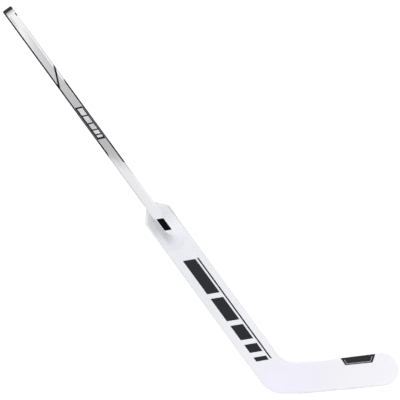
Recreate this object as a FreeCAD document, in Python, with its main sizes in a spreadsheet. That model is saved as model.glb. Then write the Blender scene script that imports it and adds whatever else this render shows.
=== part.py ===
import FreeCAD, Part
import math
import os
import Sketcher

# Goalkeeper's ice hockey stick, millimetres.
# The stick stands in its playing lie: the flat of the sole is on z = 0, +X runs
# towards the toe, the front (forehand) face looks to -Y, and the origin is the
# middle of the flat of the sole.  The paddle and the shaft are drawn in a frame
# of their own: local Z runs up the shaft axis, local X across it, and
# local Y through the thickness.

doc = FreeCAD.newDocument("goalie_stick")
V3 = FreeCAD.Vector

# ---------------------------------------------------------------- dimensions
dims = [
    # stance
    ("lie_deg", 59.4), ("axis_x", -178.849), ("axis_z", 21.380), ("side_y", 5.0),
    # shaft
    ("shaft_w", 28.8), ("shaft_thk", 20.0), ("shaft_wall", 2.0),
    ("shaft_corner", 4.5), ("bore_corner", 2.5),
    ("joint_s", 640.0), ("shaft_len", 668.0),
    # butt end plug
    ("cap_head", 10.4), ("cap_edge", 2.6), ("plug_len", 38.0), ("plug_gap", 0.30),
    ("plug_wall", 2.2), ("plug_floor", 4.0), ("rib_w", 1.6), ("rib_gap", 0.05),
    ("rib_pitch", 5.0),
    # foam plug in the tube
    ("foam_s", 742.0), ("foam_len", 45.0), ("foam_gap", 0.10),
    # paddle
    ("pad_half_w", 42.0), ("heel_shoulder_s", 600.8), ("toe_shoulder_s", 604.0), ("shoulder_r", 13.0),
    ("half_t_top", 8.5), ("half_t_heel", 6.5), ("taper_s", 110.0), ("half_in_top", 6.2),
    ("skin_t", 1.2), ("band_w", 6.0), ("edge_r", 5.0), ("ridge_end_s", 500.0),
    # spar
    ("spar_w", 24.4), ("tenon_len", 95.0), ("tenon_half_t", 7.9), ("tenon_r", 2.3),
    ("tongue_w", 14.0), ("tongue_s", 72.0),
    # blade outline, part frame
    ("heel_s", 9.28), ("heel_r", 78.0),
    ("sole_x", -120.0), ("sole_r", 350.0),
    ("toe_x", 145.5), ("toe_low_r", 38.0), ("toe_top_z", 94.5), ("toe_top_r", 48.0),
    ("dip_x", -65.0), ("dip_z", 87.0), ("dip_r", 1000.0),
    ("throat_s", 55.7), ("throat_r", 62.0),
    # blade plan: straight to curve_x, then two arcs that bend to the front
    ("curve_x", -105.0), ("blade_half_t", 6.5), ("front_r", 1222.0), ("back_r", 999.0),
    ("blade_edge_r", 2.6),
    # rib
    ("rib_low_z", 40.0), ("rib_high_z", 52.0), ("rib_from_x", -150.0), ("rib_to_x", 118.0),
    # thin layers
    ("grip_t", 0.5), ("film_t", 0.15),
]
val = dict(dims)

# ---- geometry of the outline, worked out from the numbers above
tilt = math.radians(90.0 - val["lie_deg"])
SN, CS = math.sin(tilt), math.cos(tilt)


def to_local(x, z):
    dx, dz = x - val["axis_x"], z - val["axis_z"]
    return (dx * CS + dz * SN, -dx * SN + dz * CS)


def to_part(w, s):
    return (val["axis_x"] + w * CS - s * SN, val["axis_z"] + w * SN + s * CS)


def meet(p, d, q, e):
    det = d[0] * (-e[1]) + e[0] * d[1]
    t = ((q[0] - p[0]) * (-e[1]) + e[0] * (q[1] - p[1])) / det
    return (p[0] + t * d[0], p[1] + t * d[1])


def inset(poly, dist):
    """Each side of a counter-clockwise polygon moved inwards by its distance."""
    n = len(poly)
    lines = []
    for i in range(n):
        a, b = poly[i], poly[(i + 1) % n]
        d = (b[0] - a[0], b[1] - a[1])
        k = math.hypot(*d)
        nx, nz = -d[1] / k, d[0] / k
        lines.append(((a[0] + nx * dist[i], a[1] + nz * dist[i]), d))
    return [meet(lines[i - 1][0], lines[i - 1][1], lines[i][0], lines[i][1]) for i in range(n)]


half_shaft = val["shaft_w"] / 2
outline = [
    to_part(-half_shaft, val["joint_s"]),
    to_part(-val["pad_half_w"], val["heel_shoulder_s"]),
    to_part(-val["pad_half_w"], val["heel_s"]),
    (val["sole_x"], 0.0),
    (val["toe_x"], 0.0),
    (val["toe_x"], val["toe_top_z"]),
    (val["dip_x"], val["dip_z"]),
    to_part(val["pad_half_w"], val["throat_s"]),
    to_part(val["pad_half_w"], val["toe_shoulder_s"]),
    to_part(half_shaft, val["joint_s"]),
]
bw = val["band_w"]
inner = inset(outline, [bw] * 9 + [0.0])
names = ["neck_l", "should_l", "heel", "sole", "toelow", "toetop", "dip", "throat", "should_r", "neck_r"]
extra = []


def cell(name, number):
    extra.append((name, round(number, 4)))
    val[name] = round(number, 4)


for nm, (x, z), (xi, zi) in zip(names, outline, inner):
    w, s = to_local(x, z)
    wi, si = to_local(xi, zi)
    for suffix, number in (("xo", x), ("zo", z), ("xi", xi), ("zi", zi),
                           ("wo", w), ("so", s), ("wi", wi), ("si", si)):
        cell("%s_%s" % (nm, suffix), number)


def along(a, b, x):
    f = (x - a[0]) / (b[0] - a[0])
    return (x, a[1] + f * (b[1] - a[1]))


# points on the facet under the heel and on the top edge, beyond the mitre
for nm, a, b, x in (("facet_o", outline[2], outline[3], -148.0), ("facet_i", inner[2], inner[3], -148.0),
                    ("top_o", outline[7], outline[6], -98.0), ("top_i", inner[7], inner[6], -98.0),
                    ("block_top", inner[7], inner[6], val["curve_x"]),
                    ("block_low", inner[2], inner[3], val["curve_x"])):
    x, z = along(a, b, x)
    if nm == "block_low":
        z = inner[3][1]
    w, s = to_local(x, z)
    cell(nm + "_x", x)
    cell(nm + "_z", z)
    cell(nm + "_w", w)
    cell(nm + "_s", s)
# mitre between paddle and blade, drawn out past both corners, and a far corner
mx, mz = outline[7][0] - outline[2][0], outline[7][1] - outline[2][1]
mk = math.hypot(mx, mz)
mx, mz = mx / mk, mz / mk
lo = (outline[2][0] - 40 * mx, outline[2][1] - 40 * mz)
hi = (outline[7][0] + 40 * mx, outline[7][1] + 40 * mz)
for nm, p in (("mit_lo", lo), ("mit_hi", hi), ("mit_far_hi", (hi[0] + 220, hi[1])),
              ("mit_far_lo", (lo[0] + 260, lo[1])), ("mit_back_hi", (hi[0] - 160, hi[1])),
              ("mit_back_lo", (lo[0] - 160, lo[1]))):
    w, s = to_local(*p)
    cell(nm + "_x", p[0])
    cell(nm + "_z", p[1])
    cell(nm + "_w", w)
    cell(nm + "_s", s)
# rib socket and spar slot in the heel block
for nm, p in (("sock_a", (val["rib_from_x"], val["rib_low_z"])), ("sock_b", (val["curve_x"] + 6, val["rib_low_z"])),
              ("sock_c", (val["curve_x"] + 6, val["rib_high_z"])), ("sock_d", (val["rib_from_x"], val["rib_high_z"]))):
    w, s = to_local(*p)
    cell(nm + "_w", w)
    cell(nm + "_s", s)
hl = val["half_t_heel"]
slope = (val["half_t_top"] - hl) / (val["joint_s"] - val["taper_s"])
cell("half_t_ridge", hl + slope * (val["ridge_end_s"] - val["taper_s"]))

# ---------------------------------------------------------------- spreadsheet
sheet = doc.addObject("Spreadsheet::Sheet", "Dims")
for row, (alias, number) in enumerate(dims + extra, 1):
    sheet.set("A%d" % row, alias)
    sheet.set("B%d" % row, str(number))
    sheet.setAlias("B%d" % row, alias)
doc.recompute()


class L:
    """A length that is a sum of sheet cells: its number and its expression."""

    def __init__(self, terms=(), const=0.0):
        self.terms = [(1.0, terms)] if isinstance(terms, str) else list(terms)
        self.const = const

    def number(self):
        return sum(k * val[a] for k, a in self.terms) + self.const

    def text(self, sign=1):
        out = "".join(" %+g * Dims.%s" % (sign * k, a) for k, a in self.terms)
        if self.const:
            out += " %+.6f" % (sign * self.const)
        return out.strip().lstrip("+")


def plane(body, role):
    return [f for f in body.Origin.OriginFeatures if f.Role == role][0]


def new_body(label, in_paddle):
    body = doc.addObject("PartDesign::Body", label)
    body.Label = label
    # the middle of the sole's flat, where the blade has begun to curve, is on y = 0
    body.Placement = FreeCAD.Placement(V3(0, val["side_y"], 0), FreeCAD.Rotation())
    if in_paddle:
        body.Placement = FreeCAD.Placement(V3(val["axis_x"], val["side_y"], val["axis_z"]),
                                           FreeCAD.Rotation(V3(0, 1, 0), val["lie_deg"] - 90.0))
        body.setExpression("Placement.Base.x", "Dims.axis_x")
        body.setExpression("Placement.Base.z", "Dims.axis_z")
    body.setExpression("Placement.Base.y", "Dims.side_y")
    return body


def sketch_on(body, label, role, off=None):
    sk = body.newObject("Sketcher::SketchObject", label)
    sk.AttachmentSupport = [(plane(body, role), "")]
    sk.MapMode = "FlatFace"
    if off is not None:
        sk.AttachmentOffset = FreeCAD.Placement(V3(0, 0, off.number()), FreeCAD.Rotation())
        if off.terms:
            sk.setExpression("AttachmentOffset.Base.z", off.text())
    return sk


def pin(sk, geo, pos, axis, length):
    """Hold one end of a line at a length from the sketch's origin."""
    n = length.number()
    if abs(n) < 1e-9:
        sk.addConstraint(Sketcher.Constraint("PointOnObject", geo, pos, -2 if axis == "X" else -1))
        return
    if n > 0:
        i = sk.addConstraint(Sketcher.Constraint("Distance" + axis, -1, 1, geo, pos, n))
    else:
        i = sk.addConstraint(Sketcher.Constraint("Distance" + axis, geo, pos, -1, 1, -n))
    if length.terms:
        sk.setExpression("Constraints[%d]" % i, length.text(1 if n > 0 else -1))


def poly(body, label, role, loops, off=None):
    """Closed outlines.  Each corner is held at lengths from the sheet, and a corner
    with a third length is rounded to that radius by an arc tangent to both sides."""
    sk = sketch_on(body, label, role, off)
    for loop in loops:
        corner = [V3(c[0].number(), c[1].number(), 0) for c in loop]
        n = len(corner)
        turn = []
        for i in range(n):
            if len(loop[i]) < 3:
                turn.append((corner[i], corner[i], None, 0))
                continue
            r = loop[i][2].number()
            d1 = (corner[i - 1] - corner[i]).normalize()
            d2 = (corner[(i + 1) % n] - corner[i]).normalize()
            half = d1.getAngle(d2) / 2
            t1 = corner[i] + d1 * (r / math.tan(half))
            t2 = corner[i] + d2 * (r / math.tan(half))
            ctr = corner[i] + (d1 + d2).normalize() * (r / math.sin(half))
            left = (d1.y * d2.x - d1.x * d2.y) > 0
            turn.append((t1, t2, ctr, 1 if left else -1))
        lines = [sk.addGeometry(Part.LineSegment(turn[i][1], turn[(i + 1) % n][0]), False) for i in range(n)]
        for i in range(n):
            t1, t2, ctr, way = turn[i]
            into, out = lines[i - 1], lines[i]
            if ctr is None:
                sk.addConstraint(Sketcher.Constraint("Coincident", into, 2, out, 1))
                pin(sk, out, 1, "X", loop[i][0])
                pin(sk, out, 1, "Y", loop[i][1])
                continue
            a, c = (t1, t2) if way > 0 else (t2, t1)
            arc = sk.addGeometry(Part.ArcOfCircle(Part.Circle(ctr, V3(0, 0, 1), loop[i][2].number()),
                                                  math.atan2(a.y - ctr.y, a.x - ctr.x),
                                                  math.atan2(c.y - ctr.y, c.x - ctr.x)), False)
            mark = sk.addGeometry(Part.Point(corner[i]), True)
            sk.addConstraint(Sketcher.Constraint("Tangent", into, 2, arc, 1 if way > 0 else 2))
            sk.addConstraint(Sketcher.Constraint("Tangent", arc, 2 if way > 0 else 1, out, 1))
            sk.addConstraint(Sketcher.Constraint("PointOnObject", mark, 1, into))
            sk.addConstraint(Sketcher.Constraint("PointOnObject", mark, 1, out))
            k = sk.addConstraint(Sketcher.Constraint("Radius", arc, loop[i][2].number()))
            sk.setExpression("Constraints[%d]" % k, loop[i][2].text())
            pin(sk, mark, 1, "X", loop[i][0])
            pin(sk, mark, 1, "Y", loop[i][1])
    return sk


def pts(*items):
    return [tuple(q if isinstance(q, L) else L(q) for q in item) for item in items]


def rad(name, turn=0):
    """A corner radius from the sheet, as it is on the outline or a band's width inside it."""
    return L([(1, name)] + ([(turn, "band_w")] if turn else []))


def num(a, b):
    return (L((), a), L((), b))


def pad(body, sk, length, symmetric=False, reverse=False):
    f = body.newObject("PartDesign::Pad", sk.Label + "_pad")
    f.Profile = sk
    f.Length = length.number()
    if length.terms:
        f.setExpression("Length", length.text())
    f.SideType = "Symmetric" if symmetric else "One side"
    f.Reversed = reverse
    sk.Visibility = False
    doc.recompute()
    return f


def cut(body, sk, least=0.0):
    """A pocket through everything, both ways; it has to take material away."""
    before = body.Shape.Volume
    f = body.newObject("PartDesign::Pocket", sk.Label + "_cut")
    f.Profile = sk
    f.SideType = "Symmetric"
    f.Type = "ThroughAll"
    sk.Visibility = False
    doc.recompute()
    if before - body.Shape.Volume <= least:
        raise RuntimeError("%s takes nothing away" % f.Label)
    return f


def round_edges(body, want, radius, label):
    """Fillet on the edges of the body's last feature that want() picks."""
    base = body.Tip
    shape = base.Shape
    edges = ["Edge%d" % (i + 1) for i, e in enumerate(shape.Edges) if want(e)]
    if not edges:
        raise RuntimeError("no edge for " + label)
    f = body.newObject("PartDesign::Fillet", label)
    f.Base = (base, edges)
    f.Radius = radius.number()
    if radius.terms:
        f.setExpression("Radius", radius.text())
    doc.recompute()
    if "Invalid" in f.State or f.Shape.isNull() or not f.Shape.isValid():
        raise RuntimeError("fillet failed: " + label)
    return f


def straight(e, axis):
    if e.Curve.TypeId != "Part::GeomLine":
        return False
    d = e.Curve.Direction
    return abs(abs((d.x, d.y, d.z)["XYZ".index(axis)]) - 1) < 1e-6


def at(e, **near):
    c = e.CenterOfMass
    return all(abs(getattr(c, k) - v) < 0.02 for k, v in near.items())


def rect(w, d):
    """A centred rectangle of width w and depth d, given as half sums."""
    return [(L([(-k, a) for k, a in w.terms], -w.const), L([(-k, a) for k, a in d.terms], -d.const)),
            (w, L([(-k, a) for k, a in d.terms], -d.const)), (w, d),
            (L([(-k, a) for k, a in w.terms], -w.const), d)]


bodies = []

# ---------------------------------------------------------------- shaft tube
half_w = L([(0.5, "shaft_w")])
half_d = L([(0.5, "shaft_thk")])
bore_w = L([(0.5, "shaft_w"), (-1, "shaft_wall")])
bore_d = L([(0.5, "shaft_thk"), (-1, "shaft_wall")])

b = new_body("shaft_tube", True)
pad(b, poly(b, "tube_section", "XY_Plane", [rect(half_w, half_d)], L("joint_s")), L("shaft_len"))
round_edges(b, lambda e: straight(e, "Z"), L("shaft_corner"), "tube_corners")
cut(b, poly(b, "bore_section", "XY_Plane", [rect(bore_w, bore_d)], L("joint_s")))
round_edges(b, lambda e: straight(e, "Z") and abs(abs(e.CenterOfMass.x) - bore_w.number()) < 0.01
            and abs(abs(e.CenterOfMass.y) - bore_d.number()) < 0.01, L("bore_corner"), "bore_corners")
bodies.append(b)

# ---------------------------------------------------------------- butt end plug
top = L([(1, "joint_s"), (1, "shaft_len")])
b = new_body("end_cap", True)
pad(b, poly(b, "cap_head_section", "XY_Plane", [rect(half_w, half_d)], top), L("cap_head"))
round_edges(b, lambda e: straight(e, "Z"), L("shaft_corner"), "cap_corners")
z_top = top.number() + val["cap_head"]
round_edges(b, lambda e: at(e, z=z_top), L("cap_edge"), "cap_top_edge")
plug_w = L([(0.5, "shaft_w"), (-1, "shaft_wall"), (-1, "plug_gap")])
plug_d = L([(0.5, "shaft_thk"), (-1, "shaft_wall"), (-1, "plug_gap")])
pad(b, poly(b, "plug_section", "XY_Plane", [rect(plug_w, plug_d)], top), L("plug_len"), reverse=True)
zc = top.number() - val["plug_len"] / 2
round_edges(b, lambda e: straight(e, "Z") and at(e, z=zc), L("bore_corner"), "plug_corners")
# crush ribs on the four sides of the plug
ribs = []
rg = L([(0.5, "shaft_w"), (-1, "shaft_wall"), (-1, "rib_gap")])
rd = L([(0.5, "shaft_thk"), (-1, "shaft_wall"), (-1, "rib_gap")])
for sgn in (-1, 1):
    lo_c = L([(sgn, "rib_pitch"), (-0.5, "rib_w")])
    hi_c = L([(sgn, "rib_pitch"), (0.5, "rib_w")])
    ribs.append([(lo_c, L([(-k, a) for k, a in rd.terms])), (hi_c, L([(-k, a) for k, a in rd.terms])),
                 (hi_c, rd), (lo_c, rd)])
mid = [(L([(-k, a) for k, a in rg.terms]), L([(-0.5, "rib_w")])), (rg, L([(-0.5, "rib_w")])),
       (rg, L([(0.5, "rib_w")])), (L([(-k, a) for k, a in rg.terms]), L([(0.5, "rib_w")]))]
pad(b, poly(b, "rib_long", "XY_Plane", ribs, top), L([(1, "plug_len"), (-1, "plug_floor")]), reverse=True)
pad(b, poly(b, "rib_side", "XY_Plane", [mid], top), L([(1, "plug_len"), (-1, "plug_floor")]), reverse=True)
hole_w = L([(1, "shaft_w"), (-2, "shaft_wall"), (-2, "plug_gap"), (-2, "plug_wall")])
sk = poly(b, "plug_hollow", "XY_Plane",
          [rect(L([(0.5 * k, a) for k, a in hole_w.terms]),
                L([(0.5, "shaft_thk"), (-1, "shaft_wall"), (-1, "plug_gap"), (-1, "plug_wall")]))],
          L([(1, "joint_s"), (1, "shaft_len"), (-1, "plug_len")]))
before = b.Shape.Volume
f = b.newObject("PartDesign::Pocket", "plug_hollow_cut")
f.Profile = sk
f.Reversed = True
f.Length = val["plug_len"] - val["plug_floor"]
f.setExpression("Length", "Dims.plug_len - Dims.plug_floor")
sk.Visibility = False
doc.recompute()
if before - b.Shape.Volume < 1000:
    raise RuntimeError("plug is not hollow")
bodies.append(b)

# ---------------------------------------------------------------- foam plug in the tube
b = new_body("shaft_foam_plug", True)
pad(b, poly(b, "foam_section", "XY_Plane",
            [rect(L([(0.5, "shaft_w"), (-1, "shaft_wall"), (-1, "foam_gap")]),
                  L([(0.5, "shaft_thk"), (-1, "shaft_wall"), (-1, "foam_gap")]))], L("foam_s")), L("foam_len"))
round_edges(b, lambda e: straight(e, "Z"), L("bore_corner"), "foam_corners")
bodies.append(b)

# ---------------------------------------------------------------- paddle spar
b = new_body("paddle_spar", True)
hi_in = L("half_in_top")
lo_in = L([(1, "half_t_heel"), (-1, "skin_t")])


def neg(x):
    return L([(-k, a) for k, a in x.terms], -x.const)


ten_top = L([(1, "joint_s"), (1, "tenon_len")])
prof = [(neg(lo_in), L("tongue_s")), (lo_in, L("tongue_s")), (lo_in, L("taper_s")), (hi_in, L("joint_s")),
        (L("tenon_half_t"), L("joint_s")), (L("tenon_half_t"), ten_top), (neg(L("tenon_half_t")), ten_top),
        (neg(L("tenon_half_t")), L("joint_s")), (neg(hi_in), L("joint_s")), (neg(lo_in), L("taper_s"))]
pad(b, poly(b, "spar_profile", "YZ_Plane", [prof]), L("spar_w"), symmetric=True)
zt = val["joint_s"] + val["tenon_len"] / 2
round_edges(b, lambda e: straight(e, "Z") and at(e, z=zt), L("tenon_r"), "tenon_corners")
loops = []
for sgn in (-1, 1):
    a, c = L([(sgn * 0.5, "tongue_w")]), L([(sgn * 0.5, "spar_w")], sgn * 2.0)
    loops.append([(a, L("tongue_s", ), ), (c, L("tongue_s")), (c, L("taper_s")), (a, L("taper_s"))])
    loops[-1] = [(p[0], p[1] if i > 1 else L([(1, "tongue_s")], -2.0)) for i, p in enumerate(loops[-1])]
cut(b, poly(b, "tongue_sides", "XZ_Plane", loops))
bodies.append(b)

# ---------------------------------------------------------------- paddle: shared cutters


def taper_cut(body, label, inside):
    """Takes away what lies outside the paddle's tapered thickness, or outside its skins."""
    loops = []
    for sgn in (-1, 1):
        t_hi = L([(sgn, "half_in_top" if inside else "half_t_top")])
        t_lo = L([(sgn, "half_t_heel")] + ([(-sgn, "skin_t")] if inside else []))
        # the upper line is drawn out past the joint, on the same slope
        rise = (t_hi.number() - t_lo.number()) / (val["joint_s"] - val["taper_s"])
        up = L((), t_hi.number() + rise * 60.0)
        out = L((), sgn * 30.0)
        loops.append([(t_lo, L((), -120.0)), (out, L((), -120.0)), (out, L([(1, "joint_s")], 60.0)),
                      (up, L([(1, "joint_s")], 60.0)), (t_lo, L("taper_s"))])
    cut(body, poly(body, label, "YZ_Plane", loops))


def mitre_cut(body, label, keep_paddle):
    if keep_paddle:
        loop = pts(("mit_lo_w", "mit_lo_s"), ("mit_far_lo_w", "mit_far_lo_s"),
                   ("mit_far_hi_w", "mit_far_hi_s"), ("mit_hi_w", "mit_hi_s"))
    else:
        loop = pts(("mit_lo_x", "mit_lo_z"), ("mit_hi_x", "mit_hi_z"),
                   ("mit_back_hi_x", "mit_back_hi_z"), ("mit_back_lo_x", "mit_back_lo_z"))
    cut(body, poly(body, label, "XZ_Plane", [loop]))


# ---------------------------------------------------------------- paddle cores
for label, sgn, side in (("paddle_core_heel_side", -1, "should_l"), ("paddle_core_toe_side", 1, "should_r")):
    b = new_body(label, True)
    a = L([(sgn * 0.5, "spar_w")])
    c = L([(sgn, "pad_half_w"), (-sgn, "band_w")])
    # height of the inset shoulder line beside the spar
    k = (abs(val[side + "_wi"]) - val["spar_w"] / 2) / (abs(val["should_r_wo"]) - abs(val["neck_r_wo"]))
    s_in = L([(1, side + "_si")], k * (val["joint_s"] - val["heel_shoulder_s" if sgn < 0 else "toe_shoulder_s"]))
    loop = [(a, L("taper_s")), (c, L("taper_s")), (c, L(side + "_si"), rad("shoulder_r", -1)), (a, s_in)]
    pad(b, poly(b, label + "_outline", "XZ_Plane", [loop]), L((), 40.0), symmetric=True)
    taper_cut(b, label + "_taper", True)
    bodies.append(b)

# ---------------------------------------------------------------- paddle skins
window = pts(("neck_l_wi", "neck_l_si"), ("should_l_wi", "should_l_si", rad("shoulder_r", -1)),
             ("heel_wi", "heel_si", rad("heel_r", -1)), ("facet_i_w", "facet_i_s"), ("top_i_w", "top_i_s"),
             ("throat_wi", "throat_si", rad("throat_r", 1)),
             ("should_r_wi", "should_r_si", rad("shoulder_r", -1)), ("neck_r_wi", "neck_r_si"))


def band_profile(sgn, out, inn, s_from=-120.0, s_to=None):
    """Thin layer that follows the paddle's face: out and inn are added to its half thickness."""
    def half(base, add):
        return L([(sgn, base)] + [(sgn * k, a) for k, a in add.terms], sgn * add.const)
    return [(half("half_t_heel", inn), L((), s_from)), (half("half_t_heel", out), L((), s_from)),
            (half("half_t_heel", out), L("taper_s")), (half("half_t_top", out), L("joint_s")),
            (half("half_t_top", inn), L("joint_s")), (half("half_t_heel", inn), L("taper_s"))]


def frame_loops(loop):
    big = [num(-400, -300), num(400, -300), num(400, 1500), num(-400, 1500)]
    return [big, loop]


for label, sgn in (("paddle_front_skin", -1), ("paddle_back_skin", 1)):
    b = new_body(label, True)
    layer = band_profile(sgn, L(), L([(-1, "skin_t")]))
    layer[4] = (L([(sgn, "half_in_top")]), L("joint_s"))
    pad(b, poly(b, label + "_layer", "YZ_Plane", [layer]), L((), 300.0), symmetric=True)
    cut(b, poly(b, label + "_window", "XZ_Plane", frame_loops(window)))
    mitre_cut(b, label + "_mitre", True)
    tri = [(L([(sgn, "half_t_top")]), L("joint_s")), (L([(sgn * 0.5, "shaft_thk")]), L("joint_s")),
           (L([(sgn, "half_t_ridge")]), L("ridge_end_s"))]
    pad(b, poly(b, label + "_ridge", "YZ_Plane", [tri]), L("shaft_w"), symmetric=True)
    bodies.append(b)

# ---------------------------------------------------------------- paddle edge bands
for label, q in (("paddle_edge_heel_side", "l"), ("paddle_edge_toe_side", "r")):
    b = new_body(label, True)
    v, end = ("heel", "facet") if q == "l" else ("throat", "top")
    turn = 1 if q == "l" else -1
    r_name = "heel_r" if q == "l" else "throat_r"
    strip = pts(("neck_%s_wo" % q, "neck_%s_so" % q), ("should_%s_wo" % q, "should_%s_so" % q, rad("shoulder_r")),
                (v + "_wo", v + "_so", rad(r_name)), (end + "_o_w", end + "_o_s"), (end + "_i_w", end + "_i_s"),
                (v + "_wi", v + "_si", rad(r_name, -turn)),
                ("should_%s_wi" % q, "should_%s_si" % q, rad("shoulder_r", -1)),
                ("neck_%s_wi" % q, "neck_%s_si" % q))
    pad(b, poly(b, label + "_outline", "XZ_Plane", [strip]), L((), 40.0), symmetric=True)
    taper_cut(b, label + "_taper", False)
    mitre_cut(b, label + "_mitre", True)
    sg = -1 if q == "l" else 1
    hw = val["pad_half_w"]

    round_edges(b, lambda e: e.Length > 300 and abs(e.CenterOfMass.x - sg * hw) < 0.05 and abs(e.CenterOfMass.y) > 3,
                L("edge_r"), label + "_edge")
    # notch for the spar, which is wider than the window at the joint
    sk = poly(b, label + "_notch", "XY_Plane", [rect(L([(0.5, "spar_w")]), L("half_in_top"))],
              L("joint_s"))
    before = b.Shape.Volume
    f = b.newObject("PartDesign::Pocket", label + "_notch_cut")
    f.Profile = sk
    f.Length = 20.0
    sk.Visibility = False
    doc.recompute()
    if before - b.Shape.Volume < 50:
        raise RuntimeError("no notch in " + label)
    bodies.append(b)

# ---------------------------------------------------------------- heel block
b = new_body("heel_block", True)
in_w = L([(1, "pad_half_w"), (-1, "band_w")])
loop = [(neg(in_w), L("taper_s"))] + pts(("heel_wi", "heel_si", rad("heel_r", -1)),
                                         ("sole_wi", "sole_si", rad("sole_r", -1)),
                                         ("block_low_w", "block_low_s"), ("block_top_w", "block_top_s"),
                                         ("throat_wi", "throat_si", rad("throat_r", 1))) + [(in_w, L("taper_s"))]
pad(b, poly(b, "block_outline", "XZ_Plane", [loop]), L([(2, "half_t_heel"), (-2, "skin_t")]), symmetric=True)
half_tongue = L([(0.5, "tongue_w")])
cut(b, poly(b, "spar_slot", "XZ_Plane", [[(neg(half_tongue), L("tongue_s")), (half_tongue, L("tongue_s")),
                                          (half_tongue, L([(1, "taper_s")], 5.0)),
                                          (neg(half_tongue), L([(1, "taper_s")], 5.0))]]))
cut(b, poly(b, "rib_socket", "XZ_Plane", [pts(("sock_a_w", "sock_a_s"), ("sock_b_w", "sock_b_s"),
                                             ("sock_c_w", "sock_c_s"), ("sock_d_w", "sock_d_s"))]))
bodies.append(b)


# ---------------------------------------------------------------- blade: plan layers
def plan_layer(body, label, x_from, x_to, one, two, off=None):
    """Closed plan of a layer of the blade: straight to curve_x, then arcs bent to the front.
    one and two are (side, inward distance) of its two faces, side -1 front, +1 back."""
    sk = sketch_on(body, label, "XY_Plane", off)
    xc = L("curve_x")

    def face(side, depth):
        # straight part at y0; arc about (curve_x, yc) with radius rad
        if side < 0:
            y0 = L([(-1, "blade_half_t")] + [(k, a) for k, a in depth.terms], depth.const)
            yc = L([(-1, "blade_half_t"), (-1, "front_r")])
            rad = L([(1, "front_r")] + [(k, a) for k, a in depth.terms], depth.const)
        else:
            y0 = L([(1, "blade_half_t")] + [(-k, a) for k, a in depth.terms], -depth.const)
            yc = L([(1, "blade_half_t"), (-1, "back_r")])
            rad = L([(1, "back_r")] + [(-k, a) for k, a in depth.terms], -depth.const)
        return y0, yc, rad

    geo = {}
    for key, (side, depth) in (("a", one), ("b", two)):
        y0, yc, rad = face(side, depth)
        xe = x_to.number()
        ye = yc.number() + math.sqrt(rad.number() ** 2 - (xe - xc.number()) ** 2)
        g = {"y0": y0, "end": V3(xe, ye, 0)}
        g["line"] = sk.addGeometry(Part.LineSegment(V3(x_from.number(), y0.number(), 0),
                                                    V3(xc.number(), y0.number(), 0)), False)
        ctr = V3(xc.number(), yc.number(), 0)
        a1 = math.atan2(ye - ctr.y, xe - ctr.x)
        circle = Part.Circle(ctr, V3(0, 0, 1), rad.number())
        g["arc"] = sk.addGeometry(Part.ArcOfCircle(circle, a1, math.pi / 2), False)
        # the arc starts at the toe end and ends at the straight part
        sk.addConstraint(Sketcher.Constraint("Coincident", g["arc"], 2, g["line"], 2))
        pin(sk, g["line"], 1, "X", x_from)
        pin(sk, g["line"], 1, "Y", y0)
        pin(sk, g["line"], 2, "X", xc)
        sk.addConstraint(Sketcher.Constraint("Horizontal", g["line"]))
        pin(sk, g["arc"], 3, "X", xc)
        pin(sk, g["arc"], 3, "Y", yc)
        pin(sk, g["arc"], 1, "X", x_to)
        geo[key] = g
    s = sk.addGeometry(Part.LineSegment(V3(x_from.number(), geo["a"]["y0"].number(), 0),
                                        V3(x_from.number(), geo["b"]["y0"].number(), 0)), False)
    e = sk.addGeometry(Part.LineSegment(geo["a"]["end"], geo["b"]["end"]), False)
    sk.addConstraint(Sketcher.Constraint("Coincident", s, 1, geo["a"]["line"], 1))
    sk.addConstraint(Sketcher.Constraint("Coincident", s, 2, geo["b"]["line"], 1))
    sk.addConstraint(Sketcher.Constraint("Coincident", e, 1, geo["a"]["arc"], 1))
    sk.addConstraint(Sketcher.Constraint("Coincident", e, 2, geo["b"]["arc"], 1))
    return sk


skin = L("skin_t")
none = L()
x_past = L([(1, "toe_x")], 6.0)
x_back = L([(1, "heel_xo")], -30.0)
tall = L((), 130.0)
under = L((), -15.0)

# ---------------------------------------------------------------- blade rib
b = new_body("blade_rib", False)
pad(b, plan_layer(b, "rib_plan", L("rib_from_x"), L("rib_to_x"), (-1, skin), (1, skin), L("rib_low_z")),
    L([(1, "rib_high_z"), (-1, "rib_low_z")]))
bodies.append(b)

# ---------------------------------------------------------------- blade cores
for label in ("blade_core_upper", "blade_core_lower"):
    b = new_body(label, False)
    pad(b, plan_layer(b, label + "_plan", L([(1, "curve_x")], -20.0), x_past, (-1, skin), (1, skin), under), tall)
    if label.endswith("upper"):
        loop = pts(("curve_x", "rib_high_z"), ("rib_to_x", "rib_high_z"), ("rib_to_x", "rib_low_z"),
                   ("toelow_xi", "rib_low_z"), ("toetop_xi", "toetop_zi", rad("toe_top_r", -1)),
                   ("dip_xi", "dip_zi"), ("block_top_x", "block_top_z"))
    else:
        loop = pts(("curve_x", "block_low_z"), ("toelow_xi", "toelow_zi", rad("toe_low_r", -1)),
                   ("toelow_xi", "rib_low_z"), ("curve_x", "rib_low_z"))
    cut(b, poly(b, label + "_window", "XZ_Plane", frame_loops(loop)))
    bodies.append(b)

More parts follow.
